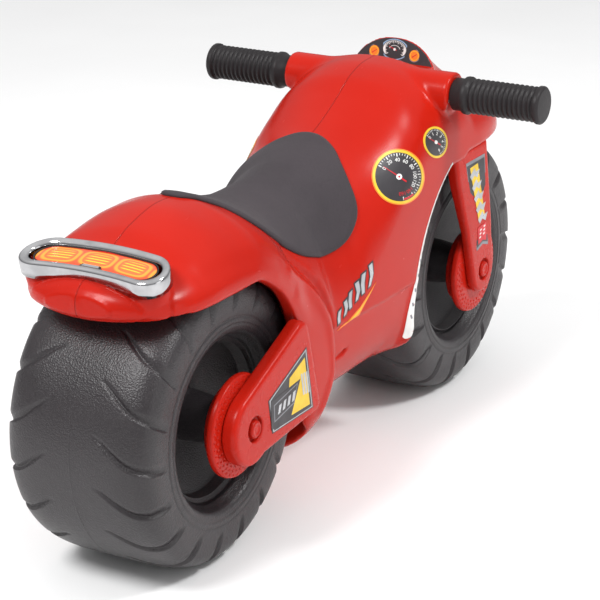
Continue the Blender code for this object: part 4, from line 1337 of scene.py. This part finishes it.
def side_drawing():
    """A speed flash: slanted strokes outlined in charcoal over an orange swoosh."""
    face = Drawing(2.5)
    face.shape("orange", [(192, 166), (226, 171), (259, 197), (228, 179)], 1)
    face.shape("yellow", [(205, 169.5), (226, 174), (252, 191.5), (228, 177.5)], 2)
    for i in range(6):
        x, foot, tall = 188.0 + 10.8 * i, 172.0 + 4.3 * i, 17.0 + 2.0 * i
        kink = x + (3.0 if i % 2 else -1.0)
        middle, top = foot + tall / 2, foot + tall
        face.shape("charcoal", [(x, foot), (x + 7, foot + 2), (kink + 9, middle), (x + 12, top),
                                (x + 3, top - 3), (kink + 1, middle - 1)], 1)
        face.shape("silver", [(x + 1.6, foot + 1.8), (x + 5.8, foot + 3.2), (kink + 7.6, middle),
                              (x + 10, top - 2.2), (x + 4.4, top - 4), (kink + 2.4, middle - 1)], 2)
    return face


def strip_drawing():
    """The pale strip beside the front arch's edge, which widens to a rounded lower end with grey marks."""
    face = Drawing(3.0)
    first, sweep, edge = 119.0, 70.0, ARCH_R["front"] + 2.0

    def spot(radius, angle):
        u, v = polar(radius, angle)
        return WHEELBASE + u, WHEEL_R + v

    inner, outer = [], []
    for along in np.arange(31) / 30:
        inner.append(spot(edge, first + sweep * along))
        outer.append(spot(edge + 2.6 + 7.4 * along**2, first + sweep * along))
    (x0, z0), (x1, z1) = inner[-1], outer[-1]
    centre, lean = ((x0 + x1) / 2, (z0 + z1) / 2), math.degrees(math.atan2(z0 - z1, x0 - x1))
    cap = list(arc(*centre, math.hypot(x1 - x0, z1 - z0) / 2, lean, lean - 180, 12))
    face.shape("white", inner + cap[1:-1] + outer[::-1], 1)
    for i, along in enumerate((0.60, 0.68, 0.76, 0.84, 0.91)):
        angle = first + sweep * along
        x, z = spot(edge + 0.5 + 3.0 * along**2, angle)
        u, v = polar(3.2 + 0.5 * i, angle - 60)
        face.bar("grey", (x, z), (x + u * 0.6, z + v), 1.8, 2)
    return face


def make_stickers(surface):
    for side, label in SIDES:
        make_gauges(surface, side, label)
        on_arm, on_fork = on_face(side, lambda z: SIDE_OUTER["rear"]), on_face(side, fork_face)
        arm_drawing().lay(f"swing_arm_graphic_{label}", on_arm, f"swing_arm_sticker_{label}")
        fork_drawing().lay(f"fork_graphic_{label}", on_fork, f"fork_sticker_{label}")
        side_drawing().lay(f"side_flash_{label}", on_side(surface, side), f"side_graphic_sticker_{label}")
        strip_drawing().lay(f"arch_strip_{label}", on_side(surface, side), f"edge_strip_sticker_{label}")


def make_dash():
    """The printed dashboard: one round gauge between two small ones on a charcoal panel."""
    face = Drawing()
    half, rise = HOOD_HALF[0][1] - 1.6, HOOD_CROWN[0][1] - 1.6 - HOOD_SHOULDER
    rim = [(half * math.cos(a) ** (2 / HOOD_POWER), HOOD_SHOULDER + rise * math.sin(a) ** (2 / HOOD_POWER))
           for a in np.linspace(0.45, math.pi / 2 - 1e-6, 40)]
    face.shape("charcoal", rim + [(-y, z) for y, z in rim[-2::-1]], 0)
    wide, tall, middle, first = 16.0, 10.6, 375.0, 220.0

    def oval(share, start=0.0, end=360.0):
        turn = np.radians(np.linspace(start, end, 61))
        return [(wide * share * math.cos(a), middle + tall * share * math.sin(a)) for a in turn]

    face.shape("blue", oval(1.0)[:-1], 1)
    face.shape("charcoal", oval(0.9)[:-1], 2)
    for start, end, share in ((-40.0, first, 0.84), (10.0, 170.0, 0.40)):
        face.shape("white", oval(share, start, end) + oval(share - 0.04, end, start), 3)
    for i in range(27):
        angle = first - 10.0 * i
        face.bar("white", oval(0.80, angle)[0], oval(0.66 if i % 3 else 0.58, angle)[0], 0.6, 3)
    face.bar("red", (2.4, middle - 0.8), (-7.0, middle + 2.8), 1.1, 4, 0.4)
    face.disc("white", (0.0, middle), 1.4, 5)
    for y in (-23.5, 23.5):
        face.disc("grey", (y, 371.0), 6.6, 1)
        face.disc("orange", (y, 371.0), 5.8, 2)
        face.ring("yellow", (y, 371.0), 4.4, 5.0, 3)
        face.bar("red", (y - 2.4, 369.2), (y + 2.8, 372.8), 1.2, 3, 0.5)

    def project(u, v, lift):
        lean = HOOD_LEAN * (v - LEAN_FROM)
        back = HOOD_ENDS[0] + lean / (1 + lean / LEAN_FADE) + 0.2 - lift
        return place(np.stack([back, -u, v], axis=-1))

    face.lay("dash_face", project, "dash_panel")


# ---- studio ----

def make_stage():
    """A white paper floor, and a sky that is darker towards the horizon."""
    shader = Shader("floor_paper", 0.9)
    shade = shader.between(shader.noise(2.0, 3.0), 0.3, 0.7)
    shader.set("Base Color", shader.mix(shade, (0.90, 0.90, 0.90), (0.93, 0.93, 0.93)))
    shader.bump(shader.noise(500.0, 3.0), 0.00005)
    bpy.ops.mesh.primitive_plane_add(size=30.0, location=(0, 0, 0))
    floor = bpy.context.object
    floor.name = "floor"
    floor.data.materials.append(shader.material)
    world = bpy.data.worlds.new("studio")
    bpy.context.scene.world = world
    world.use_nodes = True
    tree = world.node_tree
    height = tree.nodes.new("ShaderNodeSeparateXYZ")
    tree.links.new(tree.nodes.new("ShaderNodeTexCoord").outputs["Generated"], height.inputs[0])
    ramp = tree.nodes.new("ShaderNodeValToRGB")
    stops = ((0.0, (0.30, 0.30, 0.31, 1)), (0.75, (1.0, 1.0, 1.0, 1)))
    for stop, (position, colour) in zip(ramp.color_ramp.elements, stops):
        stop.position, stop.color = position, colour
    tree.links.new(height.outputs["Z"], ramp.inputs[0])
    tree.links.new(ramp.outputs[0], tree.nodes["Background"].inputs["Color"])
    tree.nodes["Background"].inputs["Strength"].default_value = 0.78


def add_light(name, at, size, power):
    """A round soft light, aimed at the middle of the bike."""
    data = bpy.data.lights.new(name, "AREA")
    data.shape = "DISK"
    data.size = size
    data.energy = power
    light = add_object(name, data)
    light.location = at
    light.rotation_euler = (Vector((0, 0, 0.15)) - Vector(at)).to_track_quat("-Z", "Y").to_euler()


def make_camera():
    """A long lens behind the right rear corner, a little above the saddle."""
    turn, tilt = math.radians(29.34), math.radians(19.70)
    forward = Vector((math.cos(turn) * math.cos(tilt), math.sin(turn) * math.cos(tilt), -math.sin(tilt)))
    right = Vector((math.sin(turn), -math.cos(turn), 0.0))
    data = bpy.data.cameras.new("camera")
    data.sensor_width = 36.0
    data.lens = 135.26
    data.clip_start, data.clip_end = 0.05, 60.0
    camera = add_object("camera", data)
    matrix = Matrix((right, right.cross(forward), -forward)).transposed().to_4x4()
    matrix.translation = (-1.84207, -1.04499, 0.92312)
    camera.matrix_world = matrix
    bpy.context.scene.camera = camera


def finish_nodes():
    """The real axles and bar tube stay as they are in the part, in drawn steel."""
    for name in ("rear_axle", "front_axle", "handlebar_tube"):
        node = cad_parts[name]
        node.data.materials.clear()
        node.data.materials.append(STEEL)


def build():
    surface = make_body()
    for which in ("rear", "front"):
        make_wheel(which)
        for side, label in SIDES:
            make_disc(which, side, label)
            make_cap(which, side, label)
    for side, label in SIDES:
        make_grip(side, label)
    make_arms()
    make_forks()
    make_seat(surface)
    make_lamp()
    make_stickers(surface)
    make_dash()
    finish_nodes()
    make_stage()
    add_light("key", (-1.9, 0.5, 2.3), 1.0, 64.0)
    add_light("shoulder", (0.2, -1.5, 2.0), 0.55, 34.0)
    add_light("fill", (-0.5, -2.7, 0.7), 1.6, 9.0)
    make_camera()
    bpy.context.scene.view_settings.view_transform = "Standard"


build()
